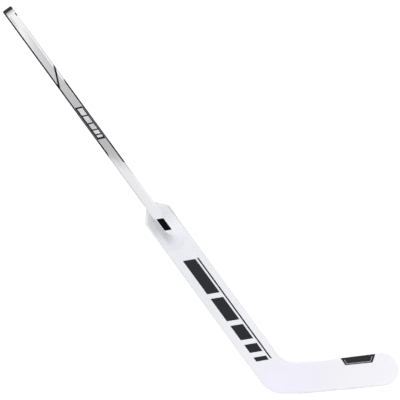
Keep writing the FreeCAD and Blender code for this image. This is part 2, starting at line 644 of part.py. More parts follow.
# ---------------------------------------------------------------- blade skins
# two points up the paddle's inset edges, past the mitre
for nm, a, c in (("up_l", inner[2], inner[1]), ("up_r", inner[7], inner[8])):
    f = 60.0 / math.hypot(c[0] - a[0], c[1] - a[1])
    x, z = a[0] + f * (c[0] - a[0]), a[1] + f * (c[1] - a[1])
    val[nm + "_x"], val[nm + "_z"] = round(x, 4), round(z, 4)
for nm, a, c in (("up_lo", outline[2], outline[1]), ("up_ro", outline[7], outline[8])):
    f = 60.0 / math.hypot(c[0] - a[0], c[1] - a[1])
    x, z = a[0] + f * (c[0] - a[0]), a[1] + f * (c[1] - a[1])
    val[nm + "_x"], val[nm + "_z"] = round(x, 4), round(z, 4)
row = len(dims) + len(extra)
for nm in ("up_l", "up_r", "up_lo", "up_ro"):
    for ax in ("_x", "_z"):
        row += 1
        sheet.set("A%d" % row, nm + ax)
        sheet.set("B%d" % row, str(val[nm + ax]))
        sheet.setAlias("B%d" % row, nm + ax)
doc.recompute()

face_in = pts(("up_l_x", "up_l_z"), ("heel_xi", "heel_zi", rad("heel_r", -1)),
              ("sole_xi", "sole_zi", rad("sole_r", -1)), ("toelow_xi", "toelow_zi", rad("toe_low_r", -1)),
              ("toetop_xi", "toetop_zi", rad("toe_top_r", -1)), ("dip_xi", "dip_zi", rad("dip_r", 1)),
              ("throat_xi", "throat_zi", rad("throat_r", 1)), ("up_r_x", "up_r_z"))
for label, side in (("blade_front_skin", -1), ("blade_back_skin", 1)):
    b = new_body(label, False)
    pad(b, plan_layer(b, label + "_plan", x_back, x_past, (side, none), (side, skin), under), tall)
    cut(b, poly(b, label + "_window", "XZ_Plane", frame_loops(face_in)))
    mitre_cut(b, label + "_mitre", False)
    bodies.append(b)

# ---------------------------------------------------------------- blade edge bands
# where the toe band starts and ends on the sole and on the top edge
toe_cut_x = L([(1, "toe_x"), (-1, "toe_top_r")], -6.0)
tx = toe_cut_x.number()
ends = {"low_o": along(outline[3], outline[4], tx), "low_i": along(inner[3], inner[4], tx),
        "top_o": along(outline[6], outline[5], tx), "top_i": along(inner[6], inner[5], tx)}


def end_pt(key):
    return (toe_cut_x, L((), round(ends[key][1], 4)))


sole_strip = pts(("up_lo_x", "up_lo_z"), ("heel_xo", "heel_zo", rad("heel_r")), ("sole_xo", "sole_zo", rad("sole_r"))) + \
    [end_pt("low_o"), end_pt("low_i")] + \
    pts(("sole_xi", "sole_zi", rad("sole_r", -1)), ("heel_xi", "heel_zi", rad("heel_r", -1)), ("up_l_x", "up_l_z"))
top_strip = pts(("up_ro_x", "up_ro_z"), ("throat_xo", "throat_zo", rad("throat_r")), ("dip_xo", "dip_zo", rad("dip_r"))) + \
    [end_pt("top_o"), end_pt("top_i")] + \
    pts(("dip_xi", "dip_zi", rad("dip_r", 1)), ("throat_xi", "throat_zi", rad("throat_r", 1)), ("up_r_x", "up_r_z"))
toe_strip = [end_pt("low_o")] + \
    pts(("toelow_xo", "toelow_zo", rad("toe_low_r")), ("toetop_xo", "toetop_zo", rad("toe_top_r"))) + \
    [end_pt("top_o"), end_pt("top_i")] + \
    pts(("toetop_xi", "toetop_zi", rad("toe_top_r", -1)), ("toelow_xi", "toelow_zi", rad("toe_low_r", -1))) + \
    [end_pt("low_i")]
for label, strip, mitred in (("blade_sole_edge", sole_strip, True), ("blade_top_edge", top_strip, True),
                             ("blade_toe_edge", toe_strip, False)):
    b = new_body(label, False)
    pad(b, plan_layer(b, label + "_plan", x_back, x_past, (-1, none), (1, none), under), tall)
    cut(b, poly(b, label + "_window", "XZ_Plane", frame_loops(strip)))
    if mitred:
        mitre_cut(b, label + "_mitre", False)
    if label == "blade_sole_edge":
        round_edges(b, lambda e: abs(e.CenterOfMass.z) < 0.02 and e.Length > 60 and not straight(e, "Y"),
                    L("blade_edge_r"), label + "_edge")
    bodies.append(b)

# ---------------------------------------------------------------- finger grips
for label, sgn in (("finger_grip_front", -1), ("finger_grip_back", 1)):
    b = new_body(label, True)
    pad(b, poly(b, label + "_layer", "YZ_Plane", [band_profile(sgn, L("grip_t"), L())]), L((), 90.0), symmetric=True)
    loops = []
    for q in (-1, 1):
        loops.append([num(q * 17.5, 612.0), num(q * 17.5, 512.0), num(q * 33.0, 524.0), num(q * 33.0, 594.0)])
    cut(b, poly(b, label + "_window", "XZ_Plane", frame_loops(loops[0]) + [loops[1]]))
    bodies.append(b)

# ---------------------------------------------------------------- printed films
# slanted blocks of falling length, in (s from, s to), with a thin line beside them
blocks = ((330.0, 446.0), (236.0, 314.0), (170.0, 220.0), (126.0, 154.0), (96.0, 110.0))
lean = 16.0
for label, sgn in (("paddle_graphic_front", -1), ("paddle_graphic_back", 1)):
    b = new_body(label, True)
    pad(b, poly(b, label + "_layer", "YZ_Plane", [band_profile(sgn, L("film_t"), L())]), L((), 90.0), symmetric=True)
    loops = []
    for lo_s, hi_s in blocks:
        loops.append([num(-18.0, lo_s + lean / 2), num(14.0, lo_s - lean / 2),
                      num(14.0, hi_s - lean / 2), num(-18.0, hi_s + lean / 2)])
    loops.append([num(19.0, 88.0), num(23.0, 86.0), num(23.0, 436.0), num(19.0, 438.0)])
    sk = poly(b, label + "_window", "XZ_Plane", [[num(-400, -300), num(400, -300), num(400, 1500), num(-400, 1500)]] + loops)
    cut(b, sk)
    bodies.append(b)

# short block on the ridge below the joint
b = new_body("shoulder_graphic_film", True)
ridge_rise = (val["shaft_thk"] / 2 - val["half_t_ridge"]) / (val["joint_s"] - val["ridge_end_s"])


def ridge_y(s, add):
    return -(val["shaft_thk"] / 2 - ridge_rise * (val["joint_s"] - s)) - add


layer = [num(ridge_y(530.0, 0), 530.0), num(ridge_y(620.0, 0), 620.0),
         (L([(-1, "film_t")], ridge_y(620.0, 0)), L((), 620.0)), (L([(-1, "film_t")], ridge_y(530.0, 0)), L((), 530.0))]
pad(b, poly(b, "shoulder_layer", "YZ_Plane", [layer]), L((), 60.0), symmetric=True)
cut(b, poly(b, "shoulder_window", "XZ_Plane", frame_loops([num(-9.0, 552.5), num(9.0, 543.5),
                                                           num(9.0, 583.5), num(-9.0, 592.5)])))
bodies.append(b)

b = new_body("shaft_graphic_film", True)
sk = poly(b, "shaft_panel", "XZ_Plane", [[num(-9.4, 867.6), num(9.4, 860.4), num(9.4, 972.4), num(-9.4, 980.6)]],
          L([(0.5, "shaft_thk")]))
pad(b, sk, L("film_t"))
bodies.append(b)

b = new_body("blade_graphic_film", False)
pad(b, plan_layer(b, "badge_plan", x_back, x_past, (-1, L([(-1, "film_t")])), (-1, none), under), tall)
cut(b, poly(b, "badge_window", "XZ_Plane", frame_loops([num(0.5, 68.0), num(76.0, 69.0), num(84.0, 84.0), num(-8.0, 82.0)])))
bodies.append(b)

# ---------------------------------------------------------------- check and write
doc.recompute()
bad = [o.Label for o in doc.Objects if "Invalid" in o.State or "Error" in o.State]
if bad:
    raise RuntimeError("not rebuilt: %s" % bad)
os.makedirs("parts", exist_ok=True)
for b in bodies:
    shape = b.Shape
    if shape.isNull() or not shape.isValid() or not shape.Solids:
        raise RuntimeError("no good solid in " + b.Label)
    shape.exportStep("parts/%s.step" % b.Label)
    bb = shape.BoundBox
    print("%-24s solids %d  vol %9.1f  x %8.2f %8.2f  y %7.2f %7.2f  z %8.2f %8.2f"
          % (b.Label, len(shape.Solids), shape.Volume, bb.XMin, bb.XMax, bb.YMin, bb.YMax, bb.ZMin, bb.ZMax))
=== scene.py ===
"""Goalkeeper's ice hockey stick: finish, edges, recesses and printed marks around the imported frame."""
import bpy
import bmesh
import math
from mathutils import Matrix, Vector


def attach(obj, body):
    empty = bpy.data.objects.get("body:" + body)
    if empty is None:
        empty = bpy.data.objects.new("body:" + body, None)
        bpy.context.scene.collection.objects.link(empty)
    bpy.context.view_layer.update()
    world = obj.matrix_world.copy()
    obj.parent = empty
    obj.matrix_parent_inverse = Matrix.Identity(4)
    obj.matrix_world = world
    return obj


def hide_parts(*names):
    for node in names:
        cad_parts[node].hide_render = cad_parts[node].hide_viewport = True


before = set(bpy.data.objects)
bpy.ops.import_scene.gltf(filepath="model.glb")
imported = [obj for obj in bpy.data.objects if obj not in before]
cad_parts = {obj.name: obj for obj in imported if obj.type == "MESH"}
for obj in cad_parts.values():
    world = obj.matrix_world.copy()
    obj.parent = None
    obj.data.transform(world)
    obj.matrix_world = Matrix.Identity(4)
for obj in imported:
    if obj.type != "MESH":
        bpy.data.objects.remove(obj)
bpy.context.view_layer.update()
scene = bpy.context.scene

# ------------------------------------------------------------------ sizes, mm
LEAN = math.radians(30.6)               # shaft axis from upright
SN, CS = math.sin(LEAN), math.cos(LEAN)
AXIS_X, AXIS_Z = -178.849, 21.380       # where the shaft axis starts, at the heel
SIDE_Y = 5.0                            # middle of the paddle's thickness
BAND = 6.0                              # width of the edge bands
NECK_S, BUTT_S, TOP_S = 640.0, 1308.0, 1318.4
SHAFT_W, SHAFT_T, SHAFT_R = 14.4, 10.0, 4.5
CURVE_X = -105.0                        # the blade's curve starts here
TOE_X = 91.5                            # the toe band starts here


def at(w, s):
    """(x, z) of a place w across and s along the shaft axis."""
    return AXIS_X + w * CS - s * SN, AXIS_Z + w * SN + s * CS


def local(x, z):
    """(w, s) of a place in the part's own plane."""
    dx, dz = x - AXIS_X, z - AXIS_Z
    return dx * CS + dz * SN, -dx * SN + dz * CS


def clamp(v, lo=0.0, hi=1.0):
    return max(lo, min(hi, v))


def smooth(a, b, v):
    t = clamp((v - a) / (b - a))
    return t * t * (3.0 - 2.0 * t)


def lerp(a, b, t):
    return a + (b - a) * t


# ------------------------------------------------------------------ surfaces
def plate(s):
    """Half thickness of the flat paddle."""
    return lerp(6.5, 8.5, clamp((s - 110.0) / 530.0))


def under(s):
    """Half thickness of what lies under the faces."""
    return lerp(5.3, 6.2, clamp((s - 110.0) / 530.0))


def sculpt(w, s):
    """Half thickness of the paddle: a ridge runs out below the shaft, and its sides scoop down to the thinner shoulders."""
    base = plate(s)
    if s < 430.0:
        return base
    low = lerp(base, 6.55, smooth(445.0, 565.0, s))
    top = lerp(base, SHAFT_T, smooth(468.0, 640.0, s))
    crest = lerp(11.2, 13.4, smooth(480.0, 640.0, s))
    reach = 36.0 - crest
    beyond = 1.3 * math.log1p(math.exp(min(40.0, (abs(w) - crest) / 1.3)))
    return low + (top - low) * (1.0 - clamp(beyond / reach)) ** 2.6


def blade_front(x):
    dx = x - CURVE_X
    return -1228.5 + math.sqrt(1222.0 ** 2 - dx * dx)


def blade_back(x):
    dx = x - CURVE_X
    return -992.5 + math.sqrt(999.0 ** 2 - dx * dx)


def front_y(x, z):
    """y of the front face, from the middle of the paddle."""
    if x > CURVE_X:
        return blade_front(x)
    return -sculpt(*local(x, z))


def back_y(x, z):
    if x > CURVE_X:
        return blade_back(x)
    return sculpt(*local(x, z))


def front_in(x, z):
    return blade_front(x) + 1.2 if x > CURVE_X else -under(local(x, z)[1])


def back_in(x, z):
    return blade_back(x) - 1.2 if x > CURVE_X else under(local(x, z)[1])


# ------------------------------------------------------------------ outline
class Outline:
    """An open line of straight runs and tangent arcs, measured along its length."""

    def __init__(self, corners):
        self.runs, self.first, self.last = [], {}, {}
        u, here = 0.0, corners[0][1:3]
        for i in range(1, len(corners)):
            name, x, z = corners[i][:3]
            r = corners[i][3] if len(corners[i]) > 3 else 0.0
            if i == len(corners) - 1 or r == 0.0:
                u = self.add_line(u, here, (x, z))
                here = (x, z)
                continue
            nx, nz = corners[i + 1][1:3]
            d1 = self.unit(here, (x, z))
            d2 = self.unit((x, z), (nx, nz))
            turn = math.atan2(d1[0] * d2[1] - d1[1] * d2[0], d1[0] * d2[0] + d1[1] * d2[1])
            cut = r * math.tan(abs(turn) / 2.0)
            p1 = (x - d1[0] * cut, z - d1[1] * cut)
            p2 = (x + d2[0] * cut, z + d2[1] * cut)
            u = self.add_line(u, here, p1)
            side = 1.0 if turn > 0 else -1.0
            c = (p1[0] - d1[1] * r * side, p1[1] + d1[0] * r * side)
            a0 = math.atan2(p1[1] - c[1], p1[0] - c[0])
            self.first[name] = u
            self.runs.append((u, u + r * abs(turn), "arc", c, r, a0, side))
            u += r * abs(turn)
            self.last[name] = u
            here = p2
        self.length = u

    @staticmethod
    def unit(a, b):
        n = math.hypot(b[0] - a[0], b[1] - a[1])
        return (b[0] - a[0]) / n, (b[1] - a[1]) / n

    def add_line(self, u, a, b):
        n = math.hypot(b[0] - a[0], b[1] - a[1])
        if n < 1e-6:
            return u
        self.runs.append((u, u + n, "line", a, self.unit(a, b)))
        return u + n

    def place(self, u):
        """(x, z, inward x, inward z) at the length u."""
        for run in self.runs:
            if u <= run[1] + 1e-9:
                break
        k = u - run[0]
        if run[2] == "line":
            (ax, az), (tx, tz) = run[3], run[4]
            return ax + tx * k, az + tz * k, -tz, tx
        c, r, a0, side = run[3], run[4], run[5], run[6]
        a = a0 + side * k / r
        tx, tz = -math.sin(a) * side, math.cos(a) * side
        return c[0] + r * math.cos(a), c[1] + r * math.sin(a), -tz, tx

    def find(self, lo, hi, test):
        """The length between lo and hi where test changes sign."""
        up = test(self.place(hi)) > test(self.place(lo))
        for _ in range(60):
            mid = (lo + hi) / 2.0
            if (test(self.place(mid)) > 0.0) == up:
                hi = mid
            else:
                lo = mid
        return (lo + hi) / 2.0


HEEL, THROAT = at(-42.0, 9.28), at(42.0, 55.7)
NECK_V = NECK_S - 8.0 * math.tan(math.radians(18.738))
outline = Outline([
    ("start", *at(-14.4, NECK_S)),
    ("neck_l", *at(-14.4, NECK_V - 2.8), 8.0),
    ("shoulder_l", *at(-42.0, 600.8), 13.0),
    ("heel", *HEEL, 78.0),
    ("sole", -120.0, 0.0, 350.0),
    ("rocker", 0.0, 0.0, 1500.0),
    ("toe_low", 145.5, 3.0, 42.0),
    ("toe_top", 145.5, 94.5, 46.0),
    ("dip", -65.0, 87.0, 1000.0),
    ("throat", *THROAT, 62.0),
    ("shoulder_r", *at(42.0, 604.0), 15.0),
    ("neck_r", *at(14.4, NECK_V - 0.6), 8.0),
    ("end", *at(14.4, NECK_S)),
])
first, last = outline.first, outline.last


def steps(a, b, n):
    """n + 1 even places from a to b, without the first."""
    return [lerp(a, b, i / n) for i in range(1, n + 1)]


def mitre(p):
    """Which side of the line from heel to throat a place is on."""
    return (THROAT[0] - HEEL[0]) * (p[1] - HEEL[1]) - (THROAT[1] - HEEL[1]) * (p[0] - HEEL[0])


def s_of(p):
    return local(p[0], p[1])[1]


def by_x(lo, hi, xs):
    return [outline.find(lo, hi, lambda p, x=x: p[0] - x) for x in xs]


GRAIN_S = 470.0
N_BLADE = 52
heel_m = outline.find(first["heel"], last["heel"], mitre)
throat_m = outline.find(first["throat"], last["throat"], mitre)
left_s = outline.find(last["shoulder_l"], first["heel"], lambda p: s_of(p) - GRAIN_S)
right_s = outline.find(last["throat"], first["shoulder_r"], lambda p: s_of(p) - GRAIN_S)
sole_t = outline.find(last["sole"], first["toe_low"], lambda p: p[0] - TOE_X)
top_t = outline.find(last["toe_top"], first["dip"], lambda p: p[0] - TOE_X)
sole_x0, top_x0 = outline.place(last["heel"])[0], outline.place(first["throat"])[0]
# the same number of places on the two sides, from the neck to the mitre and on to the toe
side_a = [0.0] + steps(0.0, last["neck_l"], 6) + steps(last["neck_l"], first["shoulder_l"], 10)
side_a += steps(first["shoulder_l"], last["shoulder_l"], 10) + steps(last["shoulder_l"], left_s, 44)
side_a += steps(left_s, first["heel"], 40) + steps(first["heel"], heel_m, 12)
side_b = [outline.length] + steps(outline.length, first["neck_r"], 6)
side_b += steps(first["neck_r"], last["shoulder_r"], 10)
side_b += steps(last["shoulder_r"], first["shoulder_r"], 10) + steps(first["shoulder_r"], right_s, 44)
side_b += steps(right_s, last["throat"], 40) + steps(last["throat"], throat_m, 12)
foot_a = [heel_m] + steps(heel_m, last["heel"], 12)
foot_a += by_x(last["heel"], first["toe_low"], steps(sole_x0, TOE_X, N_BLADE)[:-1]) + [sole_t]
foot_a += steps(sole_t, first["toe_low"], 4) + steps(first["toe_low"], last["toe_low"], 18)
foot_b = [throat_m] + steps(throat_m, first["throat"], 12)
foot_b += by_x(last["toe_top"], first["throat"], steps(top_x0, TOE_X, N_BLADE)[:-1]) + [top_t]
foot_b += steps(top_t, last["toe_top"], 4) + steps(last["toe_top"], first["toe_top"], 18)
ACROSS = 40

ROUND = [  # edge radius along the outline
    (0.0, 4.5), (last["neck_l"], 4.3), (last["shoulder_l"], 2.8), (left_s, 2.6),
    (first["heel"] - 60.0, 2.6), (heel_m, 2.5), (last["heel"], 2.3), (last["sole"], 2.2),
    (first["toe_low"], 2.2), (last["toe_low"], 2.4), (first["toe_top"], 2.4), (last["toe_top"], 2.4),
    (first["throat"], 2.4), (throat_m, 2.5), (last["throat"] + 60.0, 2.6), (right_s, 2.6),
    (first["shoulder_r"], 2.8), (first["neck_r"], 4.3), (outline.length, 4.5),
]


def edge_radius(u):
    for (u0, r0), (u1, r1) in zip(ROUND, ROUND[1:]):
        if u <= u1:
            return lerp(r0, r1, smooth(u0, u1, u))
    return ROUND[-1][1]


# ------------------------------------------------------------------ meshes
class Solid:
    """Points in mm and faces of one piece."""

    def __init__(self):
        self.points, self.faces = [], []

    def point(self, x, y, z):
        self.points.append((x * 0.001, (y + SIDE_Y) * 0.001, z * 0.001))
        return len(self.points) - 1

    def quad(self, *ids):
        self.faces.append(ids)

    def rings(self, rings, cap=True, loop=False):
        """Joins closed rings of equal length, and caps the two ends."""
        pairs = list(zip(rings, rings[1:])) + ([(rings[-1], rings[0])] if loop else [])
        for a, b in pairs:
            n = len(a)
            for i in range(n):
                self.quad(a[i], a[(i + 1) % n], b[(i + 1) % n], b[i])
        if cap and not loop:
            self.faces.append(tuple(rings[0]))
            self.faces.append(tuple(reversed(rings[-1])))

    def slab(self, top, low):
        """A closed slab between two grids of point ids of the same size."""
        rows, cols = len(top), len(top[0])
        for i in range(rows - 1):
            for j in range(cols - 1):
                self.quad(top[i][j], top[i][j + 1], top[i + 1][j + 1], top[i + 1][j])
                self.quad(low[i][j], low[i + 1][j], low[i + 1][j + 1], low[i][j + 1])
        rim = [(0, j) for j in range(cols)] + [(i, cols - 1) for i in range(1, rows)]
        rim += [(rows - 1, j) for j in range(cols - 2, -1, -1)] + [(i, 0) for i in range(rows - 2, 0, -1)]
        for (a, b), (c, d) in zip(rim, rim[1:] + rim[:1]):
            self.quad(top[a][b], low[a][b], low[c][d], top[c][d])

    def build(self, name, material, slot, nodes, body="stick", sharp=38.0):
        mesh = bpy.data.meshes.new(name)
        mesh.from_pydata(self.points, [], self.faces)
        bm = bmesh.new()
        bm.from_mesh(mesh)
        bmesh.ops.recalc_face_normals(bm, faces=bm.faces)
        bm.to_mesh(mesh)
        bm.free()
        mesh.polygons.foreach_set("use_smooth", [True] * len(mesh.polygons))
        mesh.set_sharp_from_angle(angle=math.radians(sharp))
        mesh.update()
        obj = bpy.data.objects.new(name, mesh)
        scene.collection.objects.link(obj)
        mesh.materials.append(material)
        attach(obj, body)
        if nodes:
            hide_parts(*nodes)
        return obj


ARC = 8


def band_ring(solid, place, r):
    """One cross section of an edge band: rounded front and back, flat side and inner wall."""
    x, z, nx, nz = place
    front, back = [], []
    for i in range(ARC + 1):
        a = math.radians(90.0 * i / ARC)
        d, drop = r * (1.0 - math.cos(a)), r * (1.0 - math.sin(a))
        px, pz = x + nx * d, z + nz * d
        front.append(solid.point(px, front_y(px, pz) + drop, pz))
        back.append(solid.point(px, back_y(px, pz) - drop, pz))
    px, pz = x + nx * BAND, z + nz * BAND
    front.append(solid.point(px, front_y(px, pz), pz))
    back.append(solid.point(px, back_y(px, pz), pz))
    return front + list(reversed(back))


def inset(u, d=BAND):
    x, z, nx, nz = outline.place(u)
    return x + nx * d, z + nz * d


def band(places):
    """An edge band along the outline lengths given."""
    solid = Solid()
    solid.rings([band_ring(solid, outline.place(u), edge_radius(u)) for u in places])
    return solid


def face(us_a, us_b, outer, inner):
    """A face between the two bands' inner borders."""
    solid = Solid()
    top, low = [], []
    for ua, ub in zip(us_a, us_b):
        (ax, az), (bx, bz) = inset(ua), inset(ub)
        row = [(lerp(ax, bx, j / ACROSS), lerp(az, bz, j / ACROSS)) for j in range(ACROSS + 1)]
        top.append([solid.point(x, outer(x, z), z) for x, z in row])
        low.append([solid.point(x, inner(x, z), z) for x, z in row])
    solid.slab(top, low)
    return solid


def patch(solid, corners, surface, place, rise=0.14, sink=0.10, cell=3.0):
    """A thin printed film on a surface, over the four-cornered region given.
    surface(a, b) gives y, place(a, b) gives (x, z), and rise is towards -y when negative."""
    (a0, b0), (a1, b1), (a2, b2), (a3, b3) = corners
    nu = max(2, int(max(math.hypot(a1 - a0, b1 - b0), math.hypot(a2 - a3, b2 - b3)) / cell) + 1)
    nv = max(2, int(max(math.hypot(a3 - a0, b3 - b0), math.hypot(a2 - a1, b2 - b1)) / cell) + 1)
    sign = 1.0 if rise > 0 else -1.0
    top, low = [], []
    for i in range(nu + 1):
        t = i / nu
        top_row, low_row = [], []
        for j in range(nv + 1):
            v = j / nv
            a = lerp(lerp(a0, a1, t), lerp(a3, a2, t), v)
            b = lerp(lerp(b0, b1, t), lerp(b3, b2, t), v)
            x, z = place(a, b)
            y = surface(a, b)
            top_row.append(solid.point(x, y + rise, z))
            low_row.append(solid.point(x, y - sign * sink, z))
        top.append(top_row)
        low.append(low_row)
    solid.slab(top, low)


# ------------------------------------------------------------------ materials
class Paint:
    """A node material in the part's own coordinates, in metres."""

    def __init__(self, name):
        self.material = bpy.data.materials.new(name)
        self.material.use_nodes = True
        self.tree = self.material.node_tree
        self.shader = self.tree.nodes["Principled BSDF"]
        self.coord = self.tree.nodes.new("ShaderNodeTexCoord").outputs["Object"]

    def join(self, a, socket):
        if isinstance(a, bpy.types.NodeSocket):
            self.tree.links.new(a, socket)
        else:
            socket.default_value = a

    def set(self, **values):
        for name, value in values.items():
            self.join(value, self.shader.inputs[name.replace("_", " ")])

    def dot(self, vector, axis):
        n = self.tree.nodes.new("ShaderNodeVectorMath")
        n.operation = "DOT_PRODUCT"
        self.join(vector, n.inputs[0])
        n.inputs[1].default_value = axis
        return n.outputs["Value"]

    def math(self, op, a, b=0.0, c=0.0):
        n = self.tree.nodes.new("ShaderNodeMath")
        n.operation = op
        for value, socket in zip((a, b, c), n.inputs):
            self.join(value, socket)
        return n.outputs[0]

    def along(self, axis, offset=0.0):
        """Distance in mm along a direction of the part."""
        return self.math("ADD", self.dot(self.coord, [c * 1000.0 for c in axis]), offset)

    def ramp(self, value, lo, hi, smoothed=True):
        """0 below lo, 1 above hi."""
        n = self.tree.nodes.new("ShaderNodeMapRange")
        n.interpolation_type = "SMOOTHSTEP" if smoothed else "LINEAR"
        n.clamp = True
        self.join(value, n.inputs["Value"])
        self.join(lo, n.inputs["From Min"])
        self.join(hi, n.inputs["From Max"])
        return n.outputs["Result"]

    def curve(self, value, stops):
        """Grey levels at places along a value, joined by straight runs."""
        lo, hi = stops[0][0], stops[-1][0]
        n = self.tree.nodes.new("ShaderNodeValToRGB")
        self.join(self.ramp(value, lo, hi, False), n.inputs["Fac"])
        ramp = n.color_ramp
        ramp.interpolation = "LINEAR"
        while len(ramp.elements) < len(stops):
            ramp.elements.new(0.5)
        for e, (p, c) in zip(ramp.elements, stops):
            e.position = (p - lo) / (hi - lo)
            e.color = (*c, 1.0) if isinstance(c, tuple) else (c, c, c, 1.0)
        return n.outputs["Color"]

    def stretch(self, scale):
        """The part's coordinates scaled per axis along (across, thickness, length of the shaft)."""
        n = self.tree.nodes.new("ShaderNodeCombineXYZ")
        for socket, axis, k in zip(n.inputs, ((CS, 0, SN), (0, 1, 0), (-SN, 0, CS)), scale):
            self.join(self.dot(self.coord, [c * k for c in axis]), socket)
        return n.outputs[0]

    def noise(self, vector, scale, detail=3.0, rough=0.5):
        n = self.tree.nodes.new("ShaderNodeTexNoise")
        self.join(vector, n.inputs["Vector"])
        n.inputs["Scale"].default_value = scale
        n.inputs["Detail"].default_value = detail
        n.inputs["Roughness"].default_value = rough
        return n.outputs["Fac"]

    def cells(self, vector, scale):
        n = self.tree.nodes.new("ShaderNodeTexVoronoi")
        self.join(vector, n.inputs["Vector"])
        n.inputs["Scale"].default_value = scale
        return n.outputs["Distance"]

    def mix(self, fac, a, b):
        n = self.tree.nodes.new("ShaderNodeMix")
        n.data_type = "RGBA"
        n.clamp_factor = True
        self.join(fac, n.inputs[0])
        self.join(a if isinstance(a, bpy.types.NodeSocket) else (*a, 1.0), n.inputs[6])
        self.join(b if isinstance(b, bpy.types.NodeSocket) else (*b, 1.0), n.inputs[7])
        return n.outputs[2]

    def bump(self, height, strength, distance):
        n = self.tree.nodes.new("ShaderNodeBump")
        n.inputs["Strength"].default_value = strength
        n.inputs["Distance"].default_value = distance
        self.join(height, n.inputs["Height"])
        self.join(n.outputs["Normal"], self.shader.inputs["Normal"])


WHITE = (0.838, 0.841, 0.874)
INK = (0.010, 0.010, 0.0115)
AX_W, AX_S = (CS, 0.0, SN), (-SN, 0.0, CS)
OFF_W = -(AXIS_X * CS + AXIS_Z * SN)
OFF_S = AXIS_X * SN - AXIS_Z * CS


def lacquer(p, colour, dull=0.0):
    """Gloss coat with a faint uneven surface, as sprayed lacquer has. dull is where print takes the gloss away."""
    peel = p.noise(p.coord, 420.0, 2.0)
    broad = p.noise(p.coord, 26.0, 3.0)
    p.set(Base_Color=colour, Roughness=p.math("MULTIPLY_ADD", broad, 0.14, 0.25))
    p.set(Coat_Weight=p.math("MULTIPLY_ADD", dull, -0.12, 0.12), Coat_Roughness=0.15, Specular_IOR_Level=p.math("MULTIPLY_ADD", dull, -0.26, 0.3))
    p.bump(peel, 0.03, 0.0002)


def crease_shade(p, s, w):
    """Painted shade: a dark line in the crease between the ridge and the heel-side shoulder."""
    line = p.math("MULTIPLY", p.ramp(s, 590.0, 606.0), p.math("SUBTRACT", 1.0, p.ramp(s, 622.0, 638.0)))
    line = p.math("MULTIPLY", line, p.math("SUBTRACT", 1.0, p.ramp(p.math("ABSOLUTE", p.math("ADD", w, 17.0)), 0.4, 2.6)))
    return p.math("MULTIPLY", line, 0.32)


def white_lacquer():
    p = Paint("white_lacquer")
    drift = p.noise(p.coord, 9.0, 4.0, 0.55)
    fibre = p.noise(p.stretch((60.0, 60.0, 900.0)), 1.0, 2.0)
    tone = p.mix(p.ramp(drift, 0.35, 0.65), WHITE, (0.822, 0.826, 0.862))
    tone = p.mix(p.math("MULTIPLY", fibre, 0.05), tone, (0.70, 0.70, 0.735))
    # rubbed sole: faint grey marks where the stick meets the ice
    height = p.along((0.0, 0.0, 1.0))
    rub = p.math("MULTIPLY", p.math("SUBTRACT", 1.0, p.ramp(height, 0.0, 7.0)), p.ramp(p.noise(p.coord, 70.0, 5.0, 0.65), 0.45, 0.70))
    # painted light: the blade is painted whiter towards the toe, standing in for the light that falls there
    across = p.along((1.0, 0.0, 0.0))
    painted_toe_light = p.curve(across, [(-360.0, 0.0), (-275.0, 0.31), (-180.0, 0.38), (-60.0, 0.52), (120.0, 0.91)])
    tone = p.mix(painted_toe_light, tone, (0.942, 0.928, 0.966))
    # a cooler patch at the heel
    heel = p.math("MULTIPLY", p.ramp(across, -270.0, -205.0), p.math("SUBTRACT", 1.0, p.ramp(across, -130.0, -20.0)))
    heel = p.math("MULTIPLY", heel, p.math("SUBTRACT", 1.0, p.ramp(height, 60.0, 110.0)))
    tone = p.mix(p.math("MULTIPLY", heel, 0.85), tone, (0.882, 0.862, 0.962))
    tone = p.mix(p.math("MULTIPLY", rub, 0.35), tone, (0.52, 0.52, 0.54))
    # painted shade: the toe-side shoulder's edge is painted grey beside the grip pad, standing in for the shade along
    # that edge
    s, w = p.along(AX_S, OFF_S), p.along(AX_W, OFF_W)
    painted_edge_shade = p.math("MULTIPLY", p.ramp(s, 545.0, 590.0), p.math("SUBTRACT", 1.0, p.ramp(s, 602.0, 616.0)))
    front = p.math("SUBTRACT", 1.0, p.ramp(p.along((0.0, 1.0, 0.0)), 0.5, 4.5))
    painted_edge_shade = p.math("MULTIPLY", p.math("MULTIPLY", painted_edge_shade, front), p.ramp(w, 35.0, 42.0))
    tone = p.mix(p.math("MULTIPLY", painted_edge_shade, 0.9), tone, (0.45, 0.45, 0.465))
    # painted shade, too, on the slope above it, from the neck to the corner
    slope = p.math("MULTIPLY_ADD", w, 0.794, p.math("MULTIPLY_ADD", s, 0.608, -400.8))
    slope = p.math("MULTIPLY", p.math("MULTIPLY", p.ramp(slope, -15.0, -4.0), front), p.ramp(w, 20.0, 33.0))
    tone = p.mix(p.math("MULTIPLY", slope, 0.42), tone, (0.52, 0.52, 0.53))
    # painted shade: the ridge's toe-side corner is painted a little darker than the faces beside it, toning down the
    # light it catches
    crest = p.math("MULTIPLY", p.ramp(w, 7.0, 10.0), p.math("SUBTRACT", 1.0, p.ramp(w, 11.5, 14.5)))
    crest = p.math("MULTIPLY", p.math("MULTIPLY", crest, front), p.ramp(s, 560.0, 590.0))
    tone = p.mix(p.math("MULTIPLY", crest, 0.2), tone, (0.52, 0.52, 0.53))
    # the coat is thinner towards the neck, and meets the shaft's own white there
    tone = p.mix(p.ramp(s, 585.0, 642.0), tone, (0.815, 0.809, 0.826))
    # painted highlight: the toe-side corner just below the neck is painted near white, standing in for the light it
    # catches
    clear = p.math("MULTIPLY", p.ramp(s, 629.0, 641.0), p.ramp(w, 9.0, 12.5))
    tone = p.mix(p.math("MULTIPLY", clear, front), tone, (0.985, 0.982, 0.99))
    # painted shade in the crease between the ridge and the heel-side shoulder
    tone = p.mix(p.math("MULTIPLY", crease_shade(p, s, w), front), tone, (0.42, 0.42, 0.43))
    lacquer(p, tone)
    return p.material


